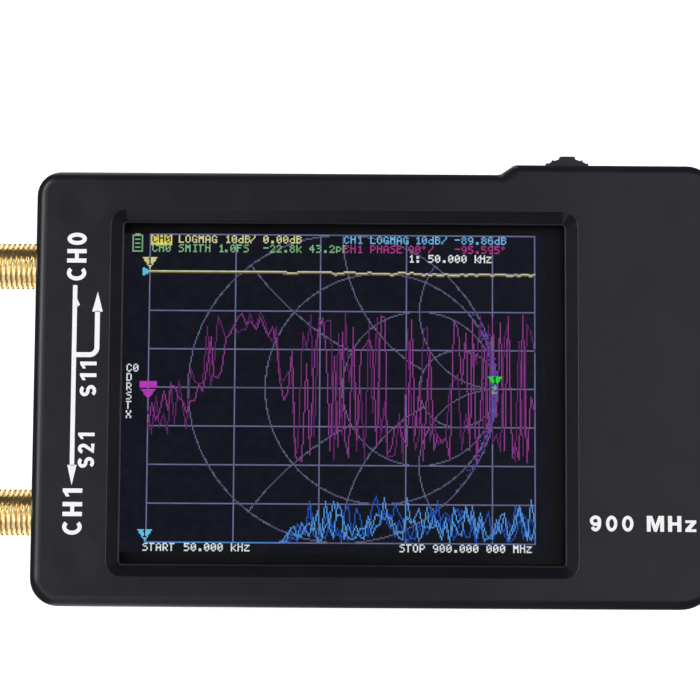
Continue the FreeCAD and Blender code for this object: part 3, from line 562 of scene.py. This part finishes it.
def jack_base(channel, center, bore, board_edge, flange_face, leg_end):
    """Square flange with the bore through it, and the legs that straddle the board."""
    made = bmesh.new()
    outer = []
    inner = []
    for turn in TURNS:
        reach = FLANGE_HALF / max(abs(math.cos(turn)), abs(math.sin(turn)))
        outer.append((reach * math.cos(turn), reach * math.sin(turn)))
        inner.append((bore * math.cos(turn), bore * math.sin(turn)))
    for x, ring in ((flange_face, outer), (board_edge, outer), (board_edge, inner), (flange_face, inner)):
        for y, z in ring:
            made.verts.new((x, center.y + y, center.z + z))
    made.verts.ensure_lookup_table()
    for face in tube_faces(4, RING):
        made.faces.new([made.verts[index] for index in face])
    board_low, board_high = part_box("main_board")
    for side in (-1, 1):
        for leg_low in (board_low.z - LEG_SIDE, board_high.z):
            y = center.y + side * LEG_OFFSET
            spot = Matrix.Translation(((board_edge + leg_end) / 2, y, leg_low + LEG_SIDE / 2))
            size = Matrix.Diagonal((leg_end - board_edge, LEG_SIDE, LEG_SIDE, 1.0))
            bmesh.ops.create_cube(made, size=1.0, matrix=spot @ size)
    bmesh.ops.recalc_face_normals(made, faces=made.faces)
    mesh = bpy.data.meshes.new("jack_base_" + channel)
    made.to_mesh(mesh)
    made.free()
    base = bpy.data.objects.new("jack_base_" + channel, mesh)
    bpy.context.scene.collection.objects.link(base)
    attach(base, "root")
    return base


# ---- window --------------------------------------------------------------

GASKET_WIDTH = 1.2 * MM
BEVEL_DEPTH = 1.5 * MM
WINDOW_ROUND = 0.6 * MM
LIP_RADIUS = 0.17 * MM
LIP_SIDES = 16
LIP_STEPS = 6


def window_lip(finish):
    """Fine round bead along the foot of the window's bevel."""
    low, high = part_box("window_gasket")
    margin = GASKET_WIDTH + WINDOW_ROUND
    left, right = low.x + margin, high.x - margin
    bottom, top = low.y + margin, high.y - margin
    corners = ((right, top, 0), (left, top, 90), (left, bottom, 180), (right, bottom, 270))
    vertices = []
    for corner_x, corner_y, start in corners:
        for step in range(LIP_STEPS + 1):
            turn = math.radians(start + 90 * step / LIP_STEPS)
            for side in range(LIP_SIDES):
                tilt = 2 * math.pi * side / LIP_SIDES
                reach = WINDOW_ROUND + LIP_RADIUS * math.cos(tilt)
                x = corner_x + reach * math.cos(turn)
                y = corner_y + reach * math.sin(turn)
                z = front_face - BEVEL_DEPTH + LIP_RADIUS * math.sin(tilt)
                vertices.append((x, y, z))
    faces = tube_faces(len(vertices) // LIP_SIDES, LIP_SIDES)
    lip = piece("window_lip", vertices, faces, smooth=True)
    paint(lip, finish)


# ---- the display's picture -----------------------------------------------

# Each glyph is six rows of four dots, a hexadecimal digit for each row.
GLYPHS = {
    "0": "69BD96", "1": "262227", "2": "69124F", "3": "E1611E", "4": "26AF22", "5": "F8E11E",
    "6": "68E996", "8": "696996", "9": "699716", "A": "699F99", "B": "E9E99E", "C": "698896",
    "D": "E9999E", "E": "F8E88F", "F": "F8E888", "G": "698B97", "H": "99F999", "I": "722227",
    "L": "88888F", "M": "9FF999", "O": "699996", "P": "E99E88", "R": "E99EA9", "S": "78611E",
    "T": "F44444", "X": "996699", "d": "117997", "k": "89ACA9", "p": "0E99E8", "z": "0F248F",
    ".": "000066", ":": "066066", "/": "112488", "-": "00F000", "*": "4A4000",
}
GLYPH_PITCH = 4.95
LINE_PITCH = 7

# Places on the display are counted in dots from its top left corner.
DOTS_ACROSS = 320
DOTS_DOWN = 240
DOT = 0.18 * MM
GRID_LEFT, GRID_RIGHT, GRID_BOTTOM = 20, 311, 232
GRID_STEP = 29
GRID_COLUMNS = 4.5
CHART_RADIUS = GRID_BOTTOM // 2
CHART_X, CHART_Y = (GRID_LEFT + GRID_RIGHT) // 2 + 1, CHART_RADIUS

SWEEP_POINTS = 101
SWEEP_SEED = 11
LEVEL_ROW = 28
RIPPLE_START = 38
FLOOR_START = 34
SWELL_POINT, SWELL_WIDTH, SWELL_RISE = 61, 2.4, 15
REFLECTION_DOTS = 520
PHASE_TOP, PHASE_BOTTOM = 2 * GRID_STEP + 1, 6 * GRID_STEP - 3
NOISE_END = 15
HUMP_START, HUMP_END = 20, 34
WRAP_START = 38
LOW_POINTS = (*range(63, 67), *range(74, 78))


class Picture:
    """The display's dots, each with the name of its ink; later paint covers earlier."""

    def __init__(self):
        self.dots = {}

    def dot(self, x, y, ink):
        """Light one dot, if it is on the display."""
        if 0 <= x < DOTS_ACROSS and 0 <= y < DOTS_DOWN:
            self.dots[(x, y)] = ink

    def line(self, x0, y0, x1, y1, ink):
        """Draw a straight line of dots."""
        steps = max(abs(x1 - x0), abs(y1 - y0), 1)
        for step in range(steps + 1):
            part = step / steps
            self.dot(round(x0 + (x1 - x0) * part), round(y0 + (y1 - y0) * part), ink)

    def circle(self, x, y, radius, ink, allowed=lambda x, y: True):
        """Draw those dots of a circle that a test allows."""
        steps = int(radius * 8)
        for step in range(steps):
            turn = 2 * math.pi * step / steps
            dot_x, dot_y = round(x + radius * math.cos(turn)), round(y + radius * math.sin(turn))
            if allowed(dot_x, dot_y):
                self.dot(dot_x, dot_y, ink)

    def text(self, x, y, words, ink, pitch=GLYPH_PITCH):
        """Write a row of glyphs."""
        for place, letter in enumerate(words):
            for row, digit in enumerate(GLYPHS.get(letter, "")):
                for column in range(4):
                    if int(digit, 16) & (8 >> column):
                        self.dot(round(x + place * pitch) + column, y + row, ink)

    def box(self, x0, y0, x1, y1, ink):
        """Fill a box of dots."""
        for y in range(y0, y1):
            for x in range(x0, x1):
                self.dot(x, y, ink)

    def pointer(self, x, y, ink, height=9):
        """Fill a marker triangle that points down at a dot."""
        for step in range(height):
            reach = step * 6 // height
            self.line(x - reach, y - step, x + reach, y - step, ink)

    def runs(self, ink):
        """Give the ink's dots as upright runs: column, first row, number of rows."""
        columns = {}
        for (x, y), used in self.dots.items():
            if used == ink:
                columns.setdefault(x, []).append(y)
        for x, rows in sorted(columns.items()):
            rows.sort()
            start = last = rows[0]
            for y in rows[1:] + [None]:
                if y is None or y != last + 1:
                    yield x, start, last - start + 1
                    start = y
                last = y


def draw_grid(picture):
    """Rectangular grid and the circles of the impedance chart."""
    width = GRID_RIGHT - GRID_LEFT
    for column in (0, 1, 2, 3, 4, GRID_COLUMNS):
        x = GRID_LEFT + round(width * column / GRID_COLUMNS)
        picture.line(x, 0, x, GRID_BOTTOM, "grid")
    for y in range(0, GRID_BOTTOM + 1, GRID_STEP):
        picture.line(GRID_LEFT, y, GRID_RIGHT, y, "grid")
    x, y, radius = CHART_X, CHART_Y, CHART_RADIUS

    def inside(center_x, limit):
        """Allow dots inside one circle of the chart."""
        return lambda dot_x, dot_y: math.hypot(dot_x - center_x, dot_y - y) <= limit + 0.5

    right = x + radius
    picture.circle(x, y, radius, "chart")
    for share in (0.25, 0.5, 0.75):
        picture.circle(right - radius * share, y, radius * share, "chart")
    outer = inside(x, radius)
    quarter = inside(right - radius * 0.25, radius * 0.25)
    half = inside(right - radius * 0.5, radius * 0.5)
    for side in (-1, 1):
        picture.circle(right, y + side * radius / 2, radius / 2, "chart", outer)
        picture.circle(right, y + side * radius, radius, "chart",
                       lambda dot_x, dot_y: outer(dot_x, dot_y) and not quarter(dot_x, dot_y))
        picture.circle(right, y + side * radius * 2, radius * 2, "chart",
                       lambda dot_x, dot_y: outer(dot_x, dot_y) and not half(dot_x, dot_y))
    picture.line(x - radius, y, x + radius, y, "chart")


def sweep_x(point):
    """Column of one point of a sweep."""
    return GRID_LEFT + round((GRID_RIGHT - GRID_LEFT) * point / (SWEEP_POINTS - 1))


def draw_sweep(picture, levels, ink):
    """Join the points of one sweep."""
    spots = [(sweep_x(point), round(level)) for point, level in enumerate(levels)]
    for before, after in zip(spots, spots[1:]):
        picture.line(*before, *after, ink)


def phase_level(point, dice):
    """One phase reading: noisy at the low end, one clean hump, then wrapping at random."""
    middle = (PHASE_TOP + PHASE_BOTTOM) / 2
    if point < NOISE_END:
        return middle + 24 - 1.2 * point + dice.uniform(-24, 22)
    if point < HUMP_START:
        return middle - 26 + dice.choice((-18, 20)) + dice.uniform(-10, 10)
    if point < HUMP_END:
        part = (point - HUMP_START) / (HUMP_END - HUMP_START)
        return PHASE_TOP + 22 - 18 * math.sin(part * math.pi) + dice.uniform(-7, 9)
    if point < WRAP_START:
        return middle - 18 + dice.uniform(-22, 30)
    if point in LOW_POINTS:
        return PHASE_BOTTOM - abs(dice.gauss(0, 34))
    return dice.choice((PHASE_TOP + abs(dice.gauss(0, 16)), PHASE_BOTTOM - abs(dice.gauss(0, 12)),
                        dice.uniform(PHASE_TOP, PHASE_BOTTOM)))


def phase_sweep(dice):
    """All readings of one phase sweep, kept between the wrapping levels."""
    levels = [phase_level(point, dice) for point in range(SWEEP_POINTS)]
    return [min(max(level, PHASE_TOP), PHASE_BOTTOM) for level in levels]


def floor_sweep(dice, start):
    """Magnitude readings at the noise floor: flat, then spikes and one swell above the base line."""
    levels = []
    for point in range(SWEEP_POINTS):
        swell = SWELL_RISE * math.exp(-((point - SWELL_POINT) / SWELL_WIDTH) ** 2)
        spike = dice.triangular(0, 34, 3) * min((point - start) / 6, 1) + swell
        levels.append(GRID_BOTTOM - max(spike, 0) if point > start else GRID_BOTTOM)
    return levels


def draw_reflection(picture, dice):
    """Readings of the open port, crowded along the right rim of the impedance chart."""
    for _ in range(REFLECTION_DOTS):
        turn = dice.gauss(0, 0.22)
        reach = CHART_RADIUS + dice.gauss(-1.5, 1.2)
        x = round(CHART_X + reach * math.cos(turn))
        y = round(CHART_Y + reach * math.sin(turn))
        picture.dot(x, y, "violet")


def draw_traces(picture):
    """The traces; the noisy ones show several sweeps, the older ones dim."""
    dice = random.Random(SWEEP_SEED)
    draw_reflection(picture, dice)
    for ink in ("phase_dim", "phase"):
        draw_sweep(picture, phase_sweep(dice), ink)
    for ink in ("floor_dim", "floor_dim", "floor", "floor"):
        draw_sweep(picture, floor_sweep(dice, FLOOR_START), ink)
    level = []
    for point in range(SWEEP_POINTS):
        ripple = dice.uniform(-0.9, 0.9) if point > RIPPLE_START else 0
        level.append(LEVEL_ROW + point / 70 + ripple)
    draw_sweep(picture, [reading + 1 for reading in level], "level_dim")
    draw_sweep(picture, level, "level")


def draw_readings(picture):
    """Rows of readings at the top and bottom, the battery sign and the calibration letters."""
    picture.box(21, 1, 37, 9, "cell_yellow")
    picture.text(22, 1, "CH0", "dark")
    picture.text(42, 1, "LOGMAG 10dB/ 0.00dB", "yellow")
    picture.text(22, 8, "CH0 SMITH 1.0FS  -22.8k 43.2pF", "green")
    picture.text(167, 1, "CH1 LOGMAG 10dB/ -89.86dB", "blue")
    picture.text(167, 8, "CH1 PHASE 90*/   -95.595*", "magenta")
    picture.text(216, 15, "1: 50.000 kHz", "white")
    picture.text(18, 233, "START 50.000 kHz", "white", 5.1)
    picture.text(210, 233, "STOP 900.000 000 MHz", "white", 5.0)
    picture.text(4, 99, "C0", "white")
    for row, letter in enumerate("DRSTX"):
        picture.text(4, 106 + row * LINE_PITCH, letter, "white")
    picture.box(9, 0, 13, 1, "green")
    for x in (7, 14):
        picture.line(x, 1, x, 13, "green")
    for y in (1, 13):
        picture.line(7, y, 14, y, "green")
    for y in (4, 7, 10):
        picture.line(9, y, 12, y, "green")


def draw_markers(picture):
    """Marker triangles at the start of each trace and on the impedance chart."""
    picture.pointer(20, 26, "yellow")
    picture.text(18, 18, "1", "dark")
    for column in range(5):
        picture.line(15 + column, 26 + column // 2, 15 + column, 31 - column // 2, "cyan")
    picture.pointer(20, 125, "phase_mark", 8)
    picture.box(14, 112, 27, 117, "phase_mark")
    picture.pointer(19, 231, "cyan")
    picture.text(17, 223, "1", "dark")
    picture.pointer(281, 114, "green_mark", 8)
    picture.text(279, 107, "1", "dark")
    picture.text(279, 114, "z", "green")


# Screen colour of each of the display's inks.
INKS = {
    "grid": (118, 120, 164),
    "chart": (112, 114, 150),
    "violet": (104, 92, 214),
    "phase": (158, 66, 156),
    "phase_dim": (116, 46, 122),
    "phase_mark": (206, 66, 206),
    "floor": (96, 172, 255),
    "floor_dim": (38, 98, 216),
    "level": (226, 224, 190),
    "level_dim": (120, 112, 60),
    "cell_yellow": (246, 234, 112),
    "yellow": (236, 230, 166),
    "green": (140, 198, 144),
    "green_mark": (40, 226, 72),
    "blue": (124, 198, 255),
    "magenta": (190, 66, 146),
    "white": (244, 253, 255),
    "cyan": (110, 214, 255),
    "dark": (30, 30, 20),
}

# The traces and the chart are a little thinner than a dot: their colours light only part of it.
THIN_INKS = ("chart", "phase", "phase_dim", "violet", "floor", "floor_dim")
THIN_MARGIN = 0.1

LAYER = 0.01 * MM
picture_center = Vector((-5.62 * MM, -1.1 * MM, cell_high.z))


def plate(name, x0, y0, x1, y1, z):
    """A flat four-cornered sheet, facing up."""
    return piece(name, [(x0, y0, z), (x1, y0, z), (x1, y1, z), (x0, y1, z)], [(0, 1, 2, 3)])


def light_display():
    """Lay the mask and the lit dots on the display cell, under the touch panel."""
    picture = Picture()
    draw_grid(picture)
    draw_traces(picture)
    draw_readings(picture)
    draw_markers(picture)
    left = picture_center.x - DOTS_ACROSS * DOT / 2
    top = picture_center.y + DOTS_DOWN * DOT / 2
    right = left + DOTS_ACROSS * DOT
    bottom = top - DOTS_DOWN * DOT
    base = picture_center.z
    mask = plate("display_mask_plate", cell_low.x, cell_low.y, cell_high.x, cell_high.y, base + LAYER)
    paint(mask, display_mask())
    glow = plate("display_picture", left, bottom, right, top, base + 2 * LAYER)
    paint(glow, lit("picture_glow", (20, 24, 34), (28, 28, 38)))
    for ink, color in INKS.items():
        vertices, faces = [], []
        margin = THIN_MARGIN if ink in THIN_INKS else 0.0
        for x, y, rows in picture.runs(ink):
            x0, x1 = left + (x + margin) * DOT, left + (x + 1 - margin) * DOT
            y0, y1 = top - (y + rows) * DOT, top - y * DOT
            start = len(vertices)
            height = base + 3 * LAYER
            vertices += [(x0, y0, height), (x1, y0, height), (x1, y1, height), (x0, y1, height)]
            faces.append((start, start + 1, start + 2, start + 3))
        if faces:
            dots = piece("display_dots_" + ink, vertices, faces)
            paint(dots, lit("dots_" + ink, color))


# ---- legends printed on the case -----------------------------------------

INK_THICK = 0.02 * MM
INK_STEP = 0.1 * INK_THICK
STROKE = 0.21
MITRE_LIMIT = 1.5


def arc(center, radii, start, end, steps=12):
    """Points along part of an ellipse, between two angles in degrees."""
    points = []
    for step in range(steps + 1):
        turn = math.radians(start + (end - start) * step / steps)
        points.append((center[0] + radii[0] * math.cos(turn), center[1] + radii[1] * math.sin(turn)))
    return points


# Plain letters, one unit tall: the width of each, the lines that a round letter is drawn with,
# and the outline of a straight one.
LETTERS = {
    "C": (0.70, [arc((0.39, 0.5), (0.28, 0.395), 48, 312, 20)], None),
    "0": (0.62, [arc((0.31, 0.5), (0.205, 0.395), 0, 360, 28)], None),
    "9": (0.62, [arc((0.31, 0.5), (0.205, 0.395), -145, 40),
                 arc((0.31, 0.67), (0.205, 0.225), 0, 360, 24)], None),
    "S": (0.66, [arc((0.33, 0.70), (0.22, 0.195), 28, 270)
                 + arc((0.33, 0.305), (0.225, 0.20), 84, -152)], None),
    "2": (0.64, [arc((0.31, 0.67), (0.20, 0.225), 168, -30) + [(0.17, 0.105), (0.62, 0.105)]], None),
    "1": (0.46, [], [(0.24, 0), (0.45, 0), (0.45, 1), (0.31, 1), (0.06, 0.83), (0.06, 0.65),
                     (0.24, 0.74)]),
    "H": (0.68, [], [(0, 0), (0.21, 0), (0.21, 0.4), (0.47, 0.4), (0.47, 0), (0.68, 0),
                     (0.68, 1), (0.47, 1), (0.47, 0.6), (0.21, 0.6), (0.21, 1), (0, 1)]),
    "M": (0.88, [], [(0, 0), (0.2, 0), (0.2, 0.62), (0.37, 0), (0.51, 0), (0.68, 0.62), (0.68, 0),
                     (0.88, 0), (0.88, 1), (0.6, 1), (0.44, 0.42), (0.28, 1), (0, 1)]),
    "z": (0.56, [], [(0, 0), (0.56, 0), (0.56, 0.17), (0.27, 0.17), (0.56, 0.56), (0.56, 0.73),
                     (0, 0.73), (0, 0.56), (0.29, 0.56), (0, 0.17)]),
    " ": (0.26, [], None),
}
LETTER_GAP = 0.2


def strip(points, width):
    """Both sides of a flat line through points, with mitred joints, and the faces between them."""
    vertices, faces = [], []
    spots = [Vector(point) for point in points]
    for i, spot in enumerate(spots):
        arriving = (spot - spots[i - 1]).normalized() if i else (spots[1] - spot).normalized()
        leaving = (spots[i + 1] - spot).normalized() if i + 1 < len(spots) else arriving
        run = (arriving + leaving).normalized()
        reach = width / 2 * min(1 / max(run.dot(leaving), 0.1), MITRE_LIMIT)
        side = Vector((-run.y, run.x)) * reach
        vertices += [spot + side, spot - side]
        if i:
            faces.append((2 * i - 2, 2 * i - 1, 2 * i + 1, 2 * i))
    return vertices, faces


def printed_shape(name, shapes, place=Matrix()):
    """One printed object from flat shapes, each laid a hair above the one before."""
    vertices, faces = [], []
    for layer, (points, loops) in enumerate(shapes):
        start = len(vertices)
        height = front_face + INK_THICK + INK_STEP * layer
        vertices += [(*(place @ Vector((point[0], point[1], 0))).xy, height) for point in points]
        faces += [tuple(start + index for index in loop) for loop in loops]
    return piece(name, vertices, faces)


def legend(name, words, corner, height, length, angle=0.0):
    """Print a word of a height and length, whose low left corner is at a place on the front face."""
    natural = sum(LETTERS[letter][0] + LETTER_GAP for letter in words) - LETTER_GAP
    stretch = length / natural
    shapes = []
    start = 0.0
    for letter in words:
        advance, lines, outline = LETTERS[letter]
        for line in lines:
            shapes.append(strip([((start + x) * stretch, y * height) for x, y in line], STROKE * height))
        if outline:
            points = [((start + x) * stretch, y * height) for x, y in outline]
            shapes.append((points, [tuple(range(len(points)))]))
        start += advance + LETTER_GAP
    place = Matrix.Translation((corner[0], corner[1], 0)) @ Matrix.Rotation(angle, 4, "Z")
    return printed_shape(name, shapes, place)


def ribbon(name, points, width):
    """A flat printed line through points on the front face."""
    return printed_shape(name, [strip(points, width)])


def flat_shape(name, points):
    """A flat printed shape with straight edges."""
    return printed_shape(name, [(points, [tuple(range(len(points)))])])


def arrow_head(name, tip, base, width):
    """A flat printed triangle that points along Y, its face turned up whichever way it points."""
    side = math.copysign(width / 2, tip[1] - base)
    return flat_shape(name, [tip, (tip[0] - side, base), (tip[0] + side, base)])


PORT_TEXT_RIGHT = -38.9 * MM
PORT_TEXT_HEIGHT = 2.6 * MM
PATH_TEXT_HEIGHT = 2.2 * MM
SHAFT_X = -40.35 * MM
SHAFT_FOOT = -11.2 * MM
SHAFT_WIDTH = 0.6 * MM
BRANCH_X = -37.3 * MM
BRANCH_TOP = 9.5 * MM
BRANCH_JOIN = 3.6 * MM
BRANCH_BEND = 1.0 * MM
HEAD_OVERLAP = 0.1 * MM


def print_legends():
    """Port names, signal paths between them, and the upper frequency at the lower right."""
    up = math.radians(90)
    printed = [
        legend("legend_port_0", "CH0", (PORT_TEXT_RIGHT, 13.55 * MM), PORT_TEXT_HEIGHT, 6.5 * MM, up),
        legend("legend_port_1", "CH1", (PORT_TEXT_RIGHT, -20.4 * MM), PORT_TEXT_HEIGHT, 6.2 * MM, up),
        legend("legend_path_11", "S11", (-37.3 * MM, -2.0 * MM), PATH_TEXT_HEIGHT, 4.7 * MM, up),
        legend("legend_path_21", "S21", (-37.4 * MM, -11.5 * MM), PATH_TEXT_HEIGHT, 4.7 * MM, up),
        legend("legend_frequency", "900 MHz", (28.5 * MM, -19.5 * MM), 2.1 * MM, 14.2 * MM),
        ribbon("path_shaft", [(SHAFT_X, 12.95 * MM), (SHAFT_X, SHAFT_FOOT)], SHAFT_WIDTH),
        arrow_head("path_shaft_head", (SHAFT_X, -13.8 * MM), SHAFT_FOOT + HEAD_OVERLAP, 1.25 * MM),
        arrow_head("path_branch_head", (BRANCH_X, 12.1 * MM), BRANCH_TOP - HEAD_OVERLAP, 1.4 * MM),
    ]
    middle = (BRANCH_X - BRANCH_BEND, BRANCH_JOIN + BRANCH_BEND)
    corner = arc(middle, (BRANCH_BEND, BRANCH_BEND), 0, -90)
    route = [(BRANCH_X, BRANCH_TOP), *corner, (SHAFT_X + SHAFT_WIDTH / 2, BRANCH_JOIN)]
    printed.append(ribbon("path_branch", route, SHAFT_WIDTH * 1.1))
    edge = SHAFT_X + SHAFT_WIDTH / 2 - INK_THICK
    mark = [(edge, 10.0 * MM), (edge + 0.4 * MM, 10.3 * MM), (edge, 11.2 * MM)]
    printed.append(flat_shape("path_mark", mark))
    ink = print_ink()
    for shape in printed:
        paint(shape, ink)


# ---- stage ---------------------------------------------------------------

CAMERA_LENS = 93.39
CAMERA_LEAN, CAMERA_SWAY, CAMERA_TWIST = 4.64, -0.2, 0.37
CAMERA_OFFSET = Vector((-2.1 * MM, -6.0 * MM, -245.9 * MM))
camera_aim = Vector((-5.5 * MM, -1.3 * MM, cell_high.z))


def photo_camera():
    """Camera above the display, a quarter of a metre away, leaning a little."""
    data = bpy.data.cameras.new("camera")
    data.sensor_width = 36.0
    data.lens = CAMERA_LENS
    data.clip_start = 0.01
    camera = bpy.data.objects.new("camera", data)
    bpy.context.scene.collection.objects.link(camera)
    turn = (Matrix.Rotation(math.radians(CAMERA_LEAN), 3, "X")
            @ Matrix.Rotation(math.radians(CAMERA_SWAY), 3, "Y")
            @ Matrix.Rotation(math.radians(CAMERA_TWIST), 3, "Z"))
    camera.matrix_world = Matrix.Translation(camera_aim - turn @ CAMERA_OFFSET) @ turn.to_4x4()
    bpy.context.scene.camera = camera


def softbox(name, place, size, power, aim=(0.0, 0.0, 0.0)):
    """A rectangular area light that faces a point."""
    data = bpy.data.lights.new(name, "AREA")
    data.shape = "RECTANGLE"
    data.size, data.size_y = size
    data.energy = power
    light = bpy.data.objects.new(name, data)
    light.location = place
    light.rotation_mode = "QUATERNION"
    light.rotation_quaternion = (Vector(aim) - Vector(place)).to_track_quat("-Z", "Y")
    bpy.context.scene.collection.objects.link(light)


def surround():
    """World light by direction: dim, with a glow in front of and below the jacks."""
    world = bpy.data.worlds.new("surround")
    world.use_nodes = True
    tree = world.node_tree
    way = tree.nodes.new("ShaderNodeTexCoord")
    split = tree.nodes.new("ShaderNodeSeparateXYZ")
    tree.links.new(way.outputs["Generated"], split.inputs[0])
    front = map_range(tree, split.outputs["Y"], 0.0, -0.5, 0.07, 0.13)
    glow = map_range(tree, split.outputs["Y"], 0.0, -0.4, 0.0, 0.85)
    below = map_range(tree, split.outputs["Z"], 0.06, -0.1, 0.0, 1.3)
    aside = math_node(tree, "ABSOLUTE", math_node(tree, "ADD", split.outputs["X"], 0.2))
    beside = map_range(tree, aside, 0.16, 0.1, 0.0, 1.0)
    jacks = math_node(tree, "MULTIPLY", math_node(tree, "MAXIMUM", below, glow), beside)
    total = math_node(tree, "ADD", front, jacks)
    tree.links.new(total, tree.nodes["Background"].inputs["Strength"])
    tree.nodes["Background"].inputs["Color"].default_value = (1.0, 1.0, 1.0, 1.0)
    bpy.context.scene.world = world


def stage():
    """Glowing white floor, and softboxes above, on both sides and towards the top left corner."""
    half = 3.0
    floor = piece("floor", [(-half, -half, 0), (half, -half, 0), (half, half, 0), (-half, half, 0)],
                  [(0, 1, 2, 3)], body=None)
    finish = Finish("floor", (252, 252, 252), 0.95)
    finish.vary_color(80 * MM, (252, 252, 252), (250, 250, 251))
    finish.set("Emission Color", (1.0, 1.0, 1.0, 1.0))
    finish.set("Emission Strength", 0.62)
    floor.data.materials.append(finish.material)
    floor.visible_glossy = False
    softbox("ceiling", (0.75, 0.2, 0.95), (1.35, 1.5), 5.5, (0.75, 0.2, 0.0))
    softbox("jack_panel", (-0.395, -0.17, 0.8), (0.43, 1.3), 1.75, (-0.395, -0.17, 0.0))
    softbox("corner", (-0.5, 0.37, 0.46), (0.28, 0.28), 1.4)
    softbox("left", (-0.6, 0.045, 0.47), (0.3, 0.34), 1.8)
    softbox("right", (0.6, 0.045, 0.47), (0.32, 0.34), 1.3)
    surround()
    bpy.context.scene.view_settings.view_transform = "Standard"


# ---- build ---------------------------------------------------------------

photo_camera()
finishes = paint_nodes()
for channel in ("ch0", "ch1"):
    jack(channel, finishes["gold_plate"])
window_lip(finishes["case_plastic"])
light_display()
print_legends()
stage()
